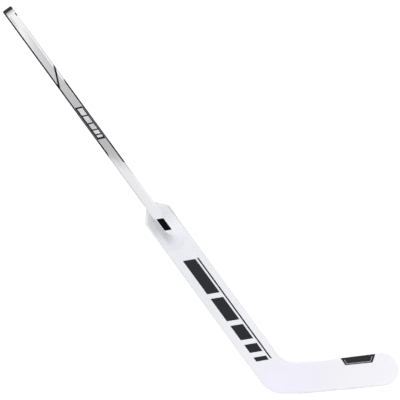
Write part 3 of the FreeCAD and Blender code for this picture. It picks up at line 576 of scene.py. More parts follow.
def dots(p, across, along, pitch, level):
    """Staggered round dots that grow with level, from none at 0 to a closed tone at 1."""
    v = p.math("DIVIDE", along, pitch)
    row = p.math("FLOOR", v)
    u = p.math("MULTIPLY_ADD", row, 0.5, p.math("DIVIDE", across, pitch))
    du = p.math("SUBTRACT", p.math("FRACT", u), 0.5)
    dv = p.math("SUBTRACT", p.math("FRACT", v), 0.5)
    far = p.math("SQRT", p.math("ADD", p.math("MULTIPLY", du, du), p.math("MULTIPLY", dv, dv)))
    size = p.math("MULTIPLY_ADD", level, 0.86, -0.07)
    return p.math("SUBTRACT", 1.0, p.ramp(far, p.math("SUBTRACT", size, 0.07), p.math("ADD", size, 0.07)))


def shaft_lacquer():
    p = Paint("shaft_lacquer")
    s = p.along(AX_S, OFF_S)
    w = p.along(AX_W, OFF_W)
    k = WHITE[0]
    # silver grey, paler towards the butt
    upper = p.math("MULTIPLY_ADD", p.ramp(s, 1040.0, 1120.0), p.math("MULTIPLY", w, -2.2), s)
    grey = [(640.0, 0.60), (800.0, 0.585), (850.0, 0.56), (977.0, 0.60), (1045.0, 0.65), (1113.0, 0.715), (1146.0, 0.75), (1180.0, 0.81), (1214.0, 0.93), (1248.0, 1.06), (1330.0, 1.04)]
    tint = (1.0, 0.995, 1.014)
    base = p.curve(upper, [(a, tuple(clamp(k * g * c) for c in tint)) for a, g in grey])
    brushed = p.noise(p.stretch((420.0, 420.0, 14.0)), 1.0, 3.0, 0.6)
    silver = p.math("SUBTRACT", 1.0, p.ramp(upper, 1150.0, 1235.0))
    base = p.mix(p.math("MULTIPLY", p.math("MULTIPLY", brushed, silver), 0.14), base, (0.33, 0.33, 0.345))
    # the lower end breaks up into dots and streaks and ends white
    streak = p.noise(p.stretch((270.0, 270.0, 9.0)), 1.0, 2.0, 0.5)
    reach = [(-14.4, 30.0), (-12.0, 15.0), (-5.0, 13.0), (-2.0, 29.0), (0.0, 36.0), (3.0, 28.0), (5.5, 27.0), (8.0, 38.0), (11.0, 46.0), (14.4, 45.0)]
    place = p.math("MULTIPLY_ADD", p.curve(w, [(a, d / 60.0) for a, d in reach]), 60.0, p.math("SUBTRACT", s, 40.0))
    place = p.math("MULTIPLY_ADD", p.math("SUBTRACT", streak, 0.5), 26.0, place)
    level = p.ramp(place, 718.0, 818.0, False)
    # the dots keep their shape round the sides: 8 of them fill the shaft's thickness, and 12 its width
    depth = p.along((0.0, 1.0, 0.0), SHAFT_T - SIDE_Y)
    turned = p.math("MULTIPLY_ADD", p.math("GREATER_THAN", depth, SHAFT_T), -2.0, 1.0)
    wrap = p.math("MULTIPLY_ADD", p.math("MULTIPLY", p.math("SIGN", w), depth), 0.96, p.math("MULTIPLY", w, turned))
    base = p.mix(dots(p, wrap, s, 2.4, level), (0.815, 0.809, 0.826), base)
    # a faint grey band below the butt, towards the heel side
    grey_band = p.math("MULTIPLY", p.ramp(s, 1244.0, 1276.0), p.math("SUBTRACT", 1.0, p.ramp(s, 1289.0, 1299.0)))
    grey_band = p.math("MULTIPLY", grey_band, p.math("SUBTRACT", 1.0, p.ramp(p.math("ABSOLUTE", p.math("ADD", w, 6.0)), 1.8, 3.2)))
    base = p.mix(p.math("MULTIPLY", grey_band, 0.6), base, (0.50, 0.50, 0.51))
    # soft grey shade under the butt plug
    shade = p.ramp(s, 1295.0, 1309.5)
    base = p.mix(p.math("MULTIPLY", shade, p.math("MULTIPLY_ADD", p.ramp(w, -12.0, 12.0), -0.12, 0.86)), base, (0.30, 0.30, 0.31))
    # painted highlight: a white line along the toe-side corner, above the slash, standing in for the light the rounded
    # corner catches
    rim = p.math("MULTIPLY", p.ramp(w, 8.4, 9.4), p.math("SUBTRACT", 1.0, p.ramp(w, 12.5, 13.3)))
    rim = p.math("MULTIPLY", rim, p.math("MULTIPLY", p.ramp(s, 1050.0, 1072.0), p.math("SUBTRACT", 1.0, p.ramp(s, 1292.0, 1300.0))))
    base = p.mix(rim, base, (0.90, 0.90, 0.915))
    # painted highlight: the toe-side corner above the paddle is painted clear white, standing in for the light it
    # catches
    clear = p.math("MULTIPLY", p.ramp(w, 9.0, 12.5), p.math("SUBTRACT", 1.0, p.ramp(s, 705.0, 745.0)))
    clear = p.math("MULTIPLY", clear, p.math("SUBTRACT", 1.0, p.ramp(p.along((0.0, 1.0, 0.0)), 0.5, 4.5)))
    base = p.mix(clear, base, (0.985, 0.982, 0.99))
    # grey corner on the heel side, where the black edge line has run out
    soft = p.math("MULTIPLY", p.math("SUBTRACT", 1.0, p.ramp(w, -14.0, -11.2)), p.math("SUBTRACT", 1.0, p.ramp(s, 806.0, 830.0)))
    front = p.math("SUBTRACT", 1.0, p.ramp(p.along((0.0, 1.0, 0.0)), -1.0, 3.0))
    soft = p.math("MULTIPLY", p.math("MULTIPLY", soft, front), p.math("MULTIPLY_ADD", p.ramp(s, 640.0, 668.0), 0.35, 0.25))
    base = p.mix(soft, base, (0.50, 0.50, 0.515))
    # black edge line on the heel side, running out near the paddle
    edge = p.math("MULTIPLY_ADD", p.math("SUBTRACT", 1.0, p.ramp(s, 802.0, 826.0)), -4.8, -10.5)
    left = p.math("SUBTRACT", 1.0, p.ramp(w, edge, p.math("ADD", edge, 0.5)))
    # black edge line on the toe side, with a slanted lower end
    cut = p.math("MULTIPLY_ADD", w, 1.6, s)
    thin = p.math("MULTIPLY_ADD", p.ramp(s, 1052.0, 1066.0), 2.2, 10.3)
    right = p.math("MULTIPLY", p.ramp(w, thin, p.math("ADD", thin, 0.5)), p.ramp(cut, 794.0, 797.0))
    right = p.math("MULTIPLY", right, p.math("SUBTRACT", 1.0, p.ramp(s, 1062.0, 1066.0)))
    # slash across the front, thin at the upper right
    run = p.math("MULTIPLY_ADD", w, 2.28, 1077.4)
    half = p.math("MULTIPLY", p.curve(w, [(-14.4, 0.66), (-4.0, 0.58), (1.0, 0.56), (7.0, 0.63), (14.4, 0.63)]), 10.0)
    half = p.math("MULTIPLY_ADD", p.ramp(w, 13.3, 14.3), -6.0, half)
    off = p.math("ABSOLUTE", p.math("SUBTRACT", s, run))
    slash = p.math("SUBTRACT", 1.0, p.ramp(off, half, p.math("ADD", half, 0.9)))
    # a short black dash on the toe-side corner, below the butt plug
    dash = p.math("SUBTRACT", 1.0, p.ramp(p.math("ABSOLUTE", p.math("SUBTRACT", s, 1290.5)), 4.2, 5.0))
    dash = p.math("MULTIPLY", p.math("MULTIPLY", dash, front), p.math("MULTIPLY", p.ramp(w, 10.4, 11.2), p.math("SUBTRACT", 1.0, p.ramp(w, 13.6, 14.2))))
    black = p.math("MAXIMUM", p.math("MAXIMUM", left, right), p.math("MAXIMUM", slash, dash))
    lacquer(p, p.mix(black, base, INK), black)
    return p.material


def print_black():
    """Black print: satin on the blade, duller and a little blue on the paddle, and a deep matt black on the ridge."""
    p = Paint("print_black")
    s = p.along(AX_S, OFF_S)
    fine = p.noise(p.coord, 900.0, 2.0)
    lines = p.math("FRACT", p.along((0.62, 0.0, 0.45)))
    blue, deep = (0.0092, 0.0109, 0.0152), (0.0028, 0.0028, 0.0034)
    ink = p.curve(s, [(-150.0, INK), (20.0, INK), (70.0, blue), (480.0, blue), (520.0, deep), (620.0, deep)])
    tone = p.mix(p.math("MULTIPLY", p.ramp(lines, 0.35, 0.65), 0.25), ink, (0.03, 0.03, 0.034))
    tone = p.mix(p.math("MULTIPLY", fine, 0.2), tone, (0.03, 0.03, 0.033))
    tone = p.mix(p.ramp(s, 480.0, 520.0), tone, ink)
    gloss = p.curve(s, [(-150.0, 0.18), (20.0, 0.18), (70.0, 0.115), (480.0, 0.115), (520.0, 0.02), (620.0, 0.02)])
    p.set(Base_Color=tone, Roughness=p.math("MULTIPLY_ADD", fine, 0.12, 0.30), Specular_IOR_Level=gloss)
    p.bump(fine, 0.03, 0.0002)
    return p.material


def panel_black():
    """Black panel with hatched borders along both edges of the shaft."""
    p = Paint("panel_black")
    s = p.along(AX_S, OFF_S)
    w = p.along(AX_W, OFF_W)
    fine = p.noise(p.coord, 900.0, 2.0)
    lines = p.math("FRACT", p.math("DIVIDE", p.math("MULTIPLY_ADD", w, 1.5, s), 2.6))
    bars = p.math("MULTIPLY", p.ramp(lines, 0.06, 0.18), p.math("SUBTRACT", 1.0, p.ramp(lines, 0.44, 0.56)))
    away = p.math("ABSOLUTE", w)
    rows = p.math("MULTIPLY", p.ramp(away, 10.0, 10.4), p.math("SUBTRACT", 1.0, p.ramp(away, 12.2, 12.6)))
    tone = p.mix(p.math("MULTIPLY", bars, rows), INK, (0.42, 0.42, 0.432))
    tone = p.mix(p.math("MULTIPLY", fine, 0.15), tone, (0.03, 0.03, 0.033))
    p.set(Base_Color=tone, Roughness=p.math("MULTIPLY_ADD", fine, 0.12, 0.30), Specular_IOR_Level=0.08)
    p.bump(fine, 0.03, 0.0002)
    return p.material


def print_white():
    """White print with a fine screen of dots, grey in the middle of the shaft's panel."""
    p = Paint("print_white")
    s = p.along(AX_S, OFF_S)
    w = p.along(AX_W, OFF_W)
    fine = p.noise(p.coord, 700.0, 3.0)
    tone = p.mix(p.math("MULTIPLY", fine, 0.3), WHITE, (0.76, 0.76, 0.79))
    screen = p.math("MULTIPLY", dots(p, w, s, 2.0, 0.46), p.ramp(s, 700.0, 740.0))
    tone = p.mix(p.math("MULTIPLY", screen, 0.85), tone, (0.27, 0.27, 0.28))
    middle = p.math("SUBTRACT", 1.0, p.ramp(p.math("ABSOLUTE", p.math("SUBTRACT", s, 917.0)), 10.0, 20.0))
    tone = p.mix(p.math("MULTIPLY", middle, 0.7), tone, (0.50, 0.50, 0.51))
    lacquer(p, tone)
    return p.material


def grip_rubber(name, grey, share):
    """Soft-touch rubber, an even pale grey on the back; on the front, painted shade makes it grey on the heel side,
    deepest beside the ridge and over its lower end, and painted light makes it pale on the toe side.
    """
    p = Paint(name)
    s = p.along(AX_S, OFF_S)
    w = p.along(AX_W, OFF_W)
    fine = p.noise(p.coord, 1500.0, 4.0)
    broad = p.noise(p.coord, 45.0, 3.0)
    tone = p.mix(p.ramp(broad, 0.3, 0.7), WHITE, [c * 0.98 for c in WHITE])
    side = [(480.0, 1.0), (505.0, 1.03), (520.0, 1.075), (540.0, 1.105), (556.0, 1.08), (572.0, 1.015), (590.0, 0.955), (612.0, 0.97), (632.0, 1.0)]
    # painted light: the toe side is painted paler, standing in for the light that falls on that flank
    tone = p.mix(p.ramp(w, 3.0, 14.0), tone, p.curve(s, [(a, tuple(clamp(c * k) for c in WHITE)) for a, k in side]))
    tone = p.mix(p.math("MULTIPLY", fine, 0.12), tone, [c * 0.86 for c in WHITE])
    # painted shade: the heel side of the front is painted grey, deepest beside the ridge and over its lower end
    mid = p.math("MULTIPLY_ADD", p.ramp(s, 576.0, 604.0), -6.3, -9.2)
    reach = p.math("MULTIPLY_ADD", p.ramp(s, 536.0, 560.0), -9.0, 14.0)
    shade_plateau = p.math("MULTIPLY_ADD", p.ramp(s, 515.0, 575.0), 0.56, 0.08)
    shade_peak = p.ramp(w, -28.0, -18.0)
    tint = p.math("MULTIPLY_ADD", p.math("SUBTRACT", p.ramp(w, -43.0, -33.0), shade_peak), shade_plateau, shade_peak)
    tint = p.math("MULTIPLY", tint, p.math("SUBTRACT", 1.0, p.ramp(w, mid, p.math("ADD", mid, reach))))
    tint = p.math("MULTIPLY", tint, p.math("MULTIPLY", p.ramp(s, 497.0, 546.0), p.math("SUBTRACT", 1.0, p.ramp(s, 592.0, 630.0))))
    # the back is one even pale grey
    front = p.math("SUBTRACT", 1.0, p.ramp(p.along((0.0, 1.0, 0.0)), 3.0, 7.0))
    tint = p.math("MULTIPLY_ADD", p.math("SUBTRACT", tint, 0.42), front, 0.42)
    tone = p.mix(p.math("MULTIPLY", tint, share), tone, grey)
    # painted shade in the crease between the ridge and the heel-side shoulder
    tone = p.mix(p.math("MULTIPLY", crease_shade(p, s, w), front), tone, (0.42, 0.42, 0.43))
    p.set(Base_Color=tone, Roughness=p.math("MULTIPLY_ADD", fine, 0.2, 0.48), Specular_IOR_Level=0.3)
    p.bump(fine, 0.12, 0.0002)
    return p.material


def black_rubber():
    p = Paint("black_rubber")
    fine = p.noise(p.coord, 1800.0, 4.0)
    broad = p.noise(p.coord, 90.0, 3.0)
    tone = p.mix(p.ramp(broad, 0.35, 0.7), (0.012, 0.012, 0.0135), (0.024, 0.024, 0.026))
    p.set(Base_Color=tone, Roughness=p.math("MULTIPLY_ADD", fine, 0.25, 0.42), Specular_IOR_Level=0.22)
    p.bump(fine, 0.25, 0.0003)
    return p.material


def foam():
    p = Paint("core_foam")
    cell = p.cells(p.coord, 700.0)
    broad = p.noise(p.coord, 40.0, 3.0)
    tone = p.mix(p.ramp(cell, 0.1, 0.6), (0.66, 0.60, 0.44), (0.83, 0.79, 0.66))
    tone = p.mix(p.math("MULTIPLY", broad, 0.2), tone, (0.72, 0.66, 0.50))
    p.set(Base_Color=tone, Roughness=p.math("MULTIPLY_ADD", broad, 0.2, 0.72), Specular_IOR_Level=0.25)
    p.bump(cell, 0.4, 0.0006)
    return p.material


def carbon():
    p = Paint("carbon_laminate")
    warp = p.math("SINE", p.along((2.2 * CS, 0.0, 2.2 * SN)))
    weft = p.math("SINE", p.along((-2.2 * SN, 0.0, 2.2 * CS)))
    weave = p.ramp(p.math("MULTIPLY", warp, weft), -0.15, 0.15)
    tone = p.mix(weave, (0.028, 0.028, 0.031), (0.075, 0.075, 0.082))
    p.set(Base_Color=tone, Roughness=p.math("MULTIPLY_ADD", weave, 0.14, 0.34))
    p.bump(weave, 0.2, 0.0003)
    return p.material


def insert():
    p = Paint("dense_insert")
    grain = p.noise(p.coord, 240.0, 5.0, 0.6)
    tone = p.mix(p.ramp(grain, 0.35, 0.65), (0.46, 0.39, 0.27), (0.60, 0.52, 0.37))
    p.set(Base_Color=tone, Roughness=p.math("MULTIPLY_ADD", grain, 0.2, 0.55))
    p.bump(grain, 0.3, 0.0005)
    return p.material


M_WHITE, M_SHAFT, M_BLACK, M_PANEL, M_PWHITE = white_lacquer(), shaft_lacquer(), print_black(), panel_black(), print_white()
# the grey each of these takes is its own even tone on the back, and painted shade on the front's heel side
M_GRIP = grip_rubber("grip_rubber", (0.62, 0.62, 0.64), 0.90)
M_DOTS = grip_rubber("grip_dots", (0.27, 0.27, 0.28), 0.95)
M_RUBBER, M_FOAM, M_CARBON, M_INSERT = black_rubber(), foam(), carbon(), insert()

# ------------------------------------------------------------------ bands and faces
toe_mid = steps(last["toe_low"], first["toe_top"], ACROSS)[:-1]
i_toe_a = foot_a.index(sole_t)
i_toe_b = foot_b.index(top_t)
band(side_a).build("paddle_rail_heel_side", M_WHITE, "white_lacquer", ["paddle_edge_heel_side"])
band(side_b).build("paddle_rail_toe_side", M_WHITE, "white_lacquer", ["paddle_edge_toe_side"])
band(foot_a[:i_toe_a + 1]).build("sole_rail", M_WHITE, "white_lacquer", ["blade_sole_edge"])
band(foot_b[:i_toe_b + 1]).build("top_rail", M_WHITE, "white_lacquer", ["blade_top_edge"])
band(foot_a[i_toe_a:] + toe_mid + list(reversed(foot_b[i_toe_b:]))).build("toe_rail", M_WHITE, "white_lacquer", ["blade_toe_edge"])
face(side_a, side_b, front_y, front_in).build("paddle_face_front", M_WHITE, "white_lacquer", ["paddle_front_skin"])
face(side_a, side_b, back_y, back_in).build("paddle_face_back", M_WHITE, "white_lacquer", ["paddle_back_skin"])
face(foot_a, foot_b, front_y, front_in).build("blade_face_front", M_WHITE, "white_lacquer", ["blade_front_skin"])
face(foot_a, foot_b, back_y, back_in).build("blade_face_back", M_WHITE, "white_lacquer", ["blade_back_skin"])


# ------------------------------------------------------------------ shaft and butt plug
def section(solid, s, half_w, half_t, r, n=7):
    """A rounded rectangle across the shaft at s."""
    ring = []
    for q, (sw, sy) in enumerate(((1, -1), (1, 1), (-1, 1), (-1, -1))):
        for i in range(-1, n + 2):
            a = math.radians(-90.0 + 90.0 * q + 90.0 * clamp(i / n))
            past = 0.7 * (i - clamp(i, 0, n))
            w = sw * (half_w - r) + r * math.cos(a) - past * math.sin(a)
            y = sy * (half_t - r) + r * math.sin(a) + past * math.cos(a)
            x, z = at(w, s)
            ring.append(solid.point(x, y, z))
    return ring


def shaft():
    solid = Solid()
    rings = [section(solid, NECK_S, SHAFT_W, SHAFT_T, SHAFT_R)]
    for s in steps(NECK_S, BUTT_S - 0.5, 56):
        rings.append(section(solid, s, SHAFT_W, SHAFT_T, SHAFT_R))
    rings.append(section(solid, BUTT_S - 0.15, SHAFT_W - 0.15, SHAFT_T - 0.15, SHAFT_R - 0.15))
    rings.append(section(solid, BUTT_S, SHAFT_W - 0.5, SHAFT_T - 0.5, SHAFT_R - 0.5))
    rings.append(section(solid, BUTT_S, 12.4, 8.0, 2.5))
    for s in reversed([NECK_S] + steps(NECK_S, BUTT_S - 6.0, 12)):
        rings.append(section(solid, s, 12.4, 8.0, 2.5))
    solid.rings(rings, loop=True)
    return solid


shaft().build("shaft_shell", M_SHAFT, "shaft_lacquer", ["shaft_tube"])


def butt_plug():
    """Head with rounded rim and a shallow dished top, over a hollow plug with three grip ribs."""
    solid = Solid()
    rings = []
    # inside of the hollow plug, from its closed end down
    for s, i in ((1305.0, 6.0), (1305.0, 3.2), (1304.0, 2.4), (1271.2, 2.2), (1270.0, 1.9)):
        rings.append(section(solid, s, 12.2 - i, 7.8 - i, max(0.6, 2.4 - i * 0.3)))
    # outside, from the lead-in chamfer up with the ribs
    outside = [(1270.0, 1.5), (1271.5, 0.85), (1276.0, 0.75)]
    for rib in (1279.0, 1288.0, 1297.0):
        outside += [(rib - 1.4, 0.75), (rib - 0.7, 0.22), (rib + 0.5, 0.2), (rib + 1.2, 0.75)]
    outside += [(1303.0, 0.75), (1308.0, 0.75)]
    for s, i in outside:
        rings.append(section(solid, s, 12.2 - i, 7.8 - i, max(0.8, 2.4 - i * 0.4)))
    head = [(1308.05, 1.2), (1308.05, 0.45), (1308.3, 0.12), (1308.9, 0.0), (TOP_S - 3.8, 0.0)]
    for k in range(1, 8):
        a = math.radians(90.0 * k / 7)
        head.append((TOP_S - 3.0 + 2.8 * math.sin(a), 2.8 * (1.0 - math.cos(a))))
    head += [(TOP_S - 0.2, 3.6), (TOP_S - 0.7, 4.1), (TOP_S - 1.1, 4.7), (TOP_S - 1.2, 6.2), (TOP_S - 1.2, 8.2)]
    for s, i in head:
        rings.append(section(solid, s, SHAFT_W - i, SHAFT_T - i, max(0.9, SHAFT_R - i * 0.55)))
    solid.rings(rings)
    return solid


butt_plug().build("butt_plug", M_RUBBER, "black_rubber", ["end_cap"], body="end_plug")


# ------------------------------------------------------------------ grip pads
PAD_LOW, PAD_TOP, PAD_ROWS, PAD_JOIN = 488.0, 619.0, 60, 23


def pad_edge(s, hand):
    """Inner and outer border of the grip pad at s, on the heel side (hand -1) or the toe side (1)."""
    inner = lerp(lerp(3.0, 9.4, smooth(537.0, 551.0, s)), 13.4, smooth(580.0, 606.0, s))
    drop = 2.6 if hand < 0 else 0.0
    outer = min(38.4 if hand < 0 else 35.4, 14.4 + ((640.0 - drop - s) * 27.6 - 6.6 * 45.363) / 36.0)
    low = clamp((s - PAD_LOW) / 30.0)
    outer = lerp(inner + 4.0, outer, math.sqrt(1.0 - (1.0 - low) ** 2))
    return inner, outer


def grip(sign):
    """A thin pad in the recesses of one side and over the ridge's lower end. sign is -1 on the front."""
    solid = Solid()
    side, mid = 14, 4
    cols = side * 2 + mid
    top, low = [], []
    for i in range(PAD_ROWS + 1):
        s = lerp(PAD_LOW, PAD_TOP, i / PAD_ROWS)
        (in_l, out_l), (in_r, out_r) = pad_edge(s, -1.0), pad_edge(s, 1.0)
        across = [-lerp(out_l, in_l, j / side) for j in range(side)]
        across += [lerp(-in_l, in_r, j / mid) for j in range(mid)] + [lerp(in_r, out_r, j / side) for j in range(side + 1)]
        top_row, low_row = [], []
        for j, w in enumerate(across):
            rim = j in (0, cols) or i in (0, PAD_ROWS) or (i >= PAD_JOIN and side <= j <= side + mid)
            x, z = at(w, s)
            top_row.append((x, sign * (sculpt(w, s) + (0.02 if rim else 0.12)), z))
            low_row.append((x, sign * (sculpt(w, s) - 0.15), z))
        top.append(top_row)
        low.append(low_row)
    filled = {(i, j) for i in range(PAD_ROWS) for j in range(cols) if i < PAD_JOIN or not side <= j < side + mid}
    ids = {}

    def corner(i, j, k):
        if (i, j, k) not in ids:
            ids[i, j, k] = solid.point(*(top if k else low)[i][j])
        return ids[i, j, k]

    for i, j in sorted(filled):
        ring = ((i, j), (i, j + 1), (i + 1, j + 1), (i + 1, j))
        solid.quad(*[corner(a, b, 1) for a, b in ring])
        solid.quad(*[corner(a, b, 0) for a, b in reversed(ring)])
        for (a, b), (c, d), beside in zip(ring, ring[1:] + ring[:1], ((i - 1, j), (i, j + 1), (i + 1, j), (i, j - 1))):
            if beside not in filled:
                solid.quad(corner(a, b, 1), corner(a, b, 0), corner(c, d, 0), corner(c, d, 1))
    return solid


DOT_ACROSS, DOT_ALONG = 4.6, 4.6


def grip_dots(sign):
    """Raised dots in rows along the shaft, over the pad."""
    solid = Solid()
    for j in range(-8, 9):
        w = j * DOT_ACROSS
        for i in range(int((PAD_TOP - PAD_LOW - 4.5) / DOT_ALONG)):
            s = PAD_LOW + 2.5 + (i + 0.5 * (j % 2)) * DOT_ALONG
            inner, outer = pad_edge(s, -1.0 if w < 0 else 1.0)
            if abs(w) > outer - 1.5 or (s > 535.0 and abs(w) < inner + 1.5):
                continue
            if abs(w) < 10.9 and 549.5 < s + 0.5 * (w + 9.0) < 595.5:
                continue
            rings = []
            for radius, rise in ((1.30, -0.06), (1.25, 0.22), (1.02, 0.48), (0.58, 0.62)):
                ring = []
                for q in range(8):
                    a = math.radians(45.0 * q)
                    pw, ps = w + radius * math.cos(a), s + radius * math.sin(a)
                    x, z = at(pw, ps)
                    ring.append(solid.point(x, sign * (sculpt(pw, ps) + rise), z))
                rings.append(ring)
            solid.rings(rings)
    return solid


grip(-1.0).build("grip_pads_front", M_GRIP, "grip_rubber", ["finger_grip_front"])
grip(1.0).build("grip_pads_back", M_GRIP, "grip_rubber", ["finger_grip_back"])
grip_dots(-1.0).build("grip_dots_front", M_DOTS, "grip_rubber", [])
grip_dots(1.0).build("grip_dots_back", M_DOTS, "grip_rubber", [])

# ------------------------------------------------------------------ printed marks
BLOCKS = ((330.0, 446.0), (236.0, 314.0), (170.0, 220.0), (126.0, 154.0), (96.0, 110.0))


def paddle_print(sign):
    solid = Solid()

    def surface(w, s):
        return sign * sculpt(w, s)

    for lo, hi in BLOCKS:
        patch(solid, ((-18.0, lo + 8.0), (-18.0, hi + 8.0), (14.0, hi - 8.0), (14.0, lo - 8.0)), surface, at, rise=sign * 0.14)
    patch(solid, ((19.0, 88.0), (19.0, 438.0), (23.0, 436.0), (23.0, 86.0)), surface, at, rise=sign * 0.14)
    return solid


paddle_print(-1.0).build("paddle_print_front", M_BLACK, "print_black", ["paddle_graphic_front"])
paddle_print(1.0).build("paddle_print_back", M_BLACK, "print_black", ["paddle_graphic_back"])


def shoulder_print():
    solid = Solid()
    patch(solid, ((-9.0, 552.5), (-9.0, 592.5), (9.0, 583.5), (9.0, 543.5)), lambda w, s: -sculpt(w, s), at, rise=-0.14)
    return solid


shoulder_print().build("shoulder_print", M_BLACK, "print_black", ["shoulder_graphic_film"])


def shaft_wrap(lo, hi, slope, reach, rise):
    """A printed panel over the front of the shaft and round its two corners. slope is the ends' slant."""
    solid = Solid()
    profile = []
    side = SHAFT_T - SHAFT_R
    for i in range(5):
        profile.append((-SHAFT_W, lerp(-side + reach, -side, i / 4.0), -1.0, 0.0))
    for i in range(1, 8):
        a = math.radians(90.0 * i / 8)
        profile.append((-(SHAFT_W - SHAFT_R) - SHAFT_R * math.cos(a), -side - SHAFT_R * math.sin(a), -math.cos(a), -math.sin(a)))
    for i in range(13):
        profile.append((lerp(-(SHAFT_W - SHAFT_R), SHAFT_W - SHAFT_R, i / 12.0), -SHAFT_T, 0.0, -1.0))
    profile += [(-w, y, -nw, ny) for w, y, nw, ny in reversed(profile[:12])]
    top, low = [], []
    n = 24
    for i in range(n + 1):
        top_row, low_row = [], []
        for w, y, nw, ny in profile:
            s = lerp(lo, hi, i / n) - slope * w
            for row, r in ((top_row, rise), (low_row, -0.12)):
                x, z = at(w + nw * r, s)
                row.append(solid.point(x, y + ny * r, z))
        top.append(top_row)
        low.append(low_row)
    solid.slab(top, low)
    return solid


shaft_wrap(865.2, 975.8, 0.42, 2.0, 0.14).build("shaft_print", M_PANEL, "print_black", ["shaft_graphic_film"])


def shaft_blocks():
    """Plain slanted blocks on the black panel."""
    solid = Solid()
    s = 872.0
    for length in (7.4, 12.1, 17.6, 22.4, 22.8):
        corners = [(w, v - 0.42 * w) for w, v in ((-6.0, s), (-6.0, s + length), (7.5, s + length), (7.5, s))]
        patch(solid, corners, lambda w, v: -SHAFT_T - 0.14, at, rise=-0.10, sink=0.04)
        s += length + 4.1
    return solid


shaft_blocks().build("shaft_print_blocks", M_PWHITE, "white_lacquer", [])


def blade_top(x):
    return 94.5 - (145.5 - x) * 7.5 / 210.5


def blade_sheet(solid, corner_low, corner_top, rise, sink, n=40, m=26):
    """A film between a line low on the blade and a line measured down from its top edge, following the rounded edge."""
    (x0, z0), (x1, z1) = corner_low
    (u0, d0), (u1, d1) = corner_top
    r = 2.4
    top, low = [], []
    for i in range(n + 1):
        t = i / n
        top_row, low_row = [], []
        for j in range(m + 1):
            v = 1.0 - (1.0 - j / m) ** 1.7
            x = lerp(lerp(x0, x1, t), lerp(u0, u1, t), v)
            edge = blade_top(x)
            d_low = edge - lerp(z0, z1, t)
            d = lerp(d_low, lerp(d0, d1, t), v)
            c = clamp((r - d) / r)
            ny, nz = -math.sqrt(1.0 - c * c), c
            y = blade_front(x) + r * (1.0 + ny)
            top_row.append(solid.point(x, y + ny * rise, edge - d + nz * rise))
            low_row.append(solid.point(x, y - ny * sink, edge - d - nz * sink))
        top.append(top_row)
        low.append(low_row)
    solid.slab(top, low)


def blade_print():
    solid = Solid()
    blade_sheet(solid, ((0.5, 68.0), (76.5, 69.0)), ((-11.0, 0.35), (87.0, 0.35)), 0.14, 0.10)
    return solid


blade_print().build("blade_print", M_BLACK, "print_black", ["blade_graphic_film"])


def blade_keyline():
    """Thin white line inside the badge's lower and side borders."""
    solid = Solid()
    for a, b, c, d in (((5.0, 71.2), (71.5, 72.1), (71.9, 72.9), (4.6, 72.0)), ((4.55, 72.07), (5.35, 72.07), (-1.0, 83.6), (-1.9, 83.6)), ((71.15, 72.97), (71.95, 72.97), (77.6, 86.0), (76.7, 86.0))):
        patch(solid, (a, b, c, d), lambda x, z: blade_front(x) - 0.14, lambda x, z: (x, z), rise=-0.10, sink=0.04)
    return solid


blade_keyline().build("blade_print_line", M_PWHITE, "white_lacquer", [])

# ------------------------------------------------------------------ pieces inside keep their CAD shape
for names, material in (
    (("shaft_foam_plug", "paddle_core_heel_side", "paddle_core_toe_side", "blade_core_upper", "blade_core_lower"), M_FOAM),
    (("paddle_spar", "blade_rib"), M_CARBON),
    (("heel_block",), M_INSERT),
):
    for name in names:
        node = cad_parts[name]
        node.data.materials.clear()
        node.data.materials.append(material)

# ------------------------------------------------------------------ stage, light, camera
scene.view_settings.view_transform = "Standard"
scene.view_settings.look = "None"

floor_mesh = bpy.data.meshes.new("floor")
floor_mesh.from_pydata([(-2.0, -1.3, 0.0), (1.4, -1.3, 0.0), (1.4, 1.5, 0.0), (-2.0, 1.5, 0.0)], [], [(0, 1, 2, 3)])
floor = bpy.data.objects.new("floor", floor_mesh)
scene.collection.objects.link(floor)
pale = Paint("pale_floor")
ray = pale.tree.nodes.new("ShaderNodeLightPath")
sight = pale.math("MAXIMUM", ray.outputs["Is Camera Ray"], ray.outputs["Is Glossy Ray"])
cloud = pale.mix(pale.ramp(pale.noise(pale.coord, 1.5, 2.0), 0.3, 0.7), (0.72, 0.72, 0.72), (0.70, 0.70, 0.70))
pale.set(Base_Color=pale.mix(sight, cloud, (0.13, 0.13, 0.13)), Roughness=0.9, Specular_IOR_Level=0.1)
pale.set(Emission_Color=(1.0, 1.0, 1.0, 1.0), Emission_Strength=pale.math("MULTIPLY", sight, 0.90))
floor_mesh.materials.append(pale.material)

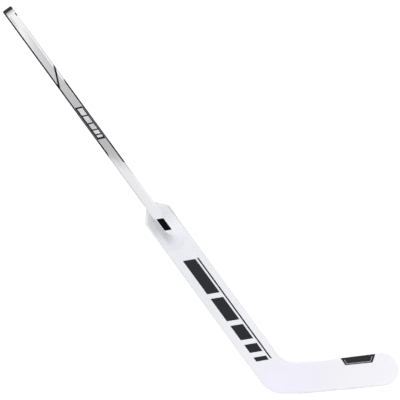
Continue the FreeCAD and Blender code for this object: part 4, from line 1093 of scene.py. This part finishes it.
world = bpy.data.worlds.new("studio")
scene.world = world
world.use_nodes = True
tree = world.node_tree
back = tree.nodes["Background"]
back.inputs["Color"].default_value = (0.97, 0.98, 1.0, 1.0)
back.inputs["Strength"].default_value = 0.53
seen = tree.nodes.new("ShaderNodeBackground")
seen.inputs["Color"].default_value = (1.0, 1.0, 1.0, 1.0)
seen.inputs["Strength"].default_value = 1.05
path = tree.nodes.new("ShaderNodeLightPath")
direct = tree.nodes.new("ShaderNodeMath")
direct.operation = "MAXIMUM"
tree.links.new(path.outputs["Is Camera Ray"], direct.inputs[0])
tree.links.new(path.outputs["Is Glossy Ray"], direct.inputs[1])
both = tree.nodes.new("ShaderNodeMixShader")
tree.links.new(direct.outputs[0], both.inputs[0])
tree.links.new(back.outputs[0], both.inputs[1])
tree.links.new(seen.outputs[0], both.inputs[2])
tree.links.new(both.outputs[0], tree.nodes["World Output"].inputs["Surface"])

AIM = Vector((-0.3609, 0.0, 0.5689))


def sun(name, towards, strength, spread):
    """A broad, soft light from far away. towards points from the object to the light."""
    data = bpy.data.lights.new(name, "SUN")
    data.energy, data.angle = strength, math.radians(spread)
    obj = bpy.data.objects.new(name, data)
    obj.rotation_mode = "QUATERNION"
    obj.rotation_quaternion = (-Vector(towards)).to_track_quat("-Z", "Y")
    scene.collection.objects.link(obj)


sun("key", (0.12, -0.955, 0.26), 1.07, 26.0)
sun("side", (-0.88, -0.36, 0.30), 0.6, 32.0)
sun("top", (0.45, -0.25, 0.86), 0.22, 32.0)
sun("rear", (-0.25, 0.91, 0.33), 1.5, 36.0)

ROLL = math.radians(5.53)
LENS, SENSOR, WIDE = 220.0, 36.0, 1.124
camera_data = bpy.data.cameras.new("camera")
camera_data.lens, camera_data.sensor_width, camera_data.sensor_fit = LENS, SENSOR, "AUTO"
camera_data.clip_start, camera_data.clip_end = 0.1, 100.0
camera = bpy.data.objects.new("camera", camera_data)
scene.collection.objects.link(camera)
right = Vector((math.cos(ROLL), 0.0, -math.sin(ROLL)))
up = Vector((math.sin(ROLL), 0.0, math.cos(ROLL)))
turn = Matrix((right, up, right.cross(up))).transposed()
camera.matrix_world = Matrix.Translation(AIM + right.cross(up) * (WIDE * LENS / SENSOR)) @ turn.to_4x4()
scene.camera = camera
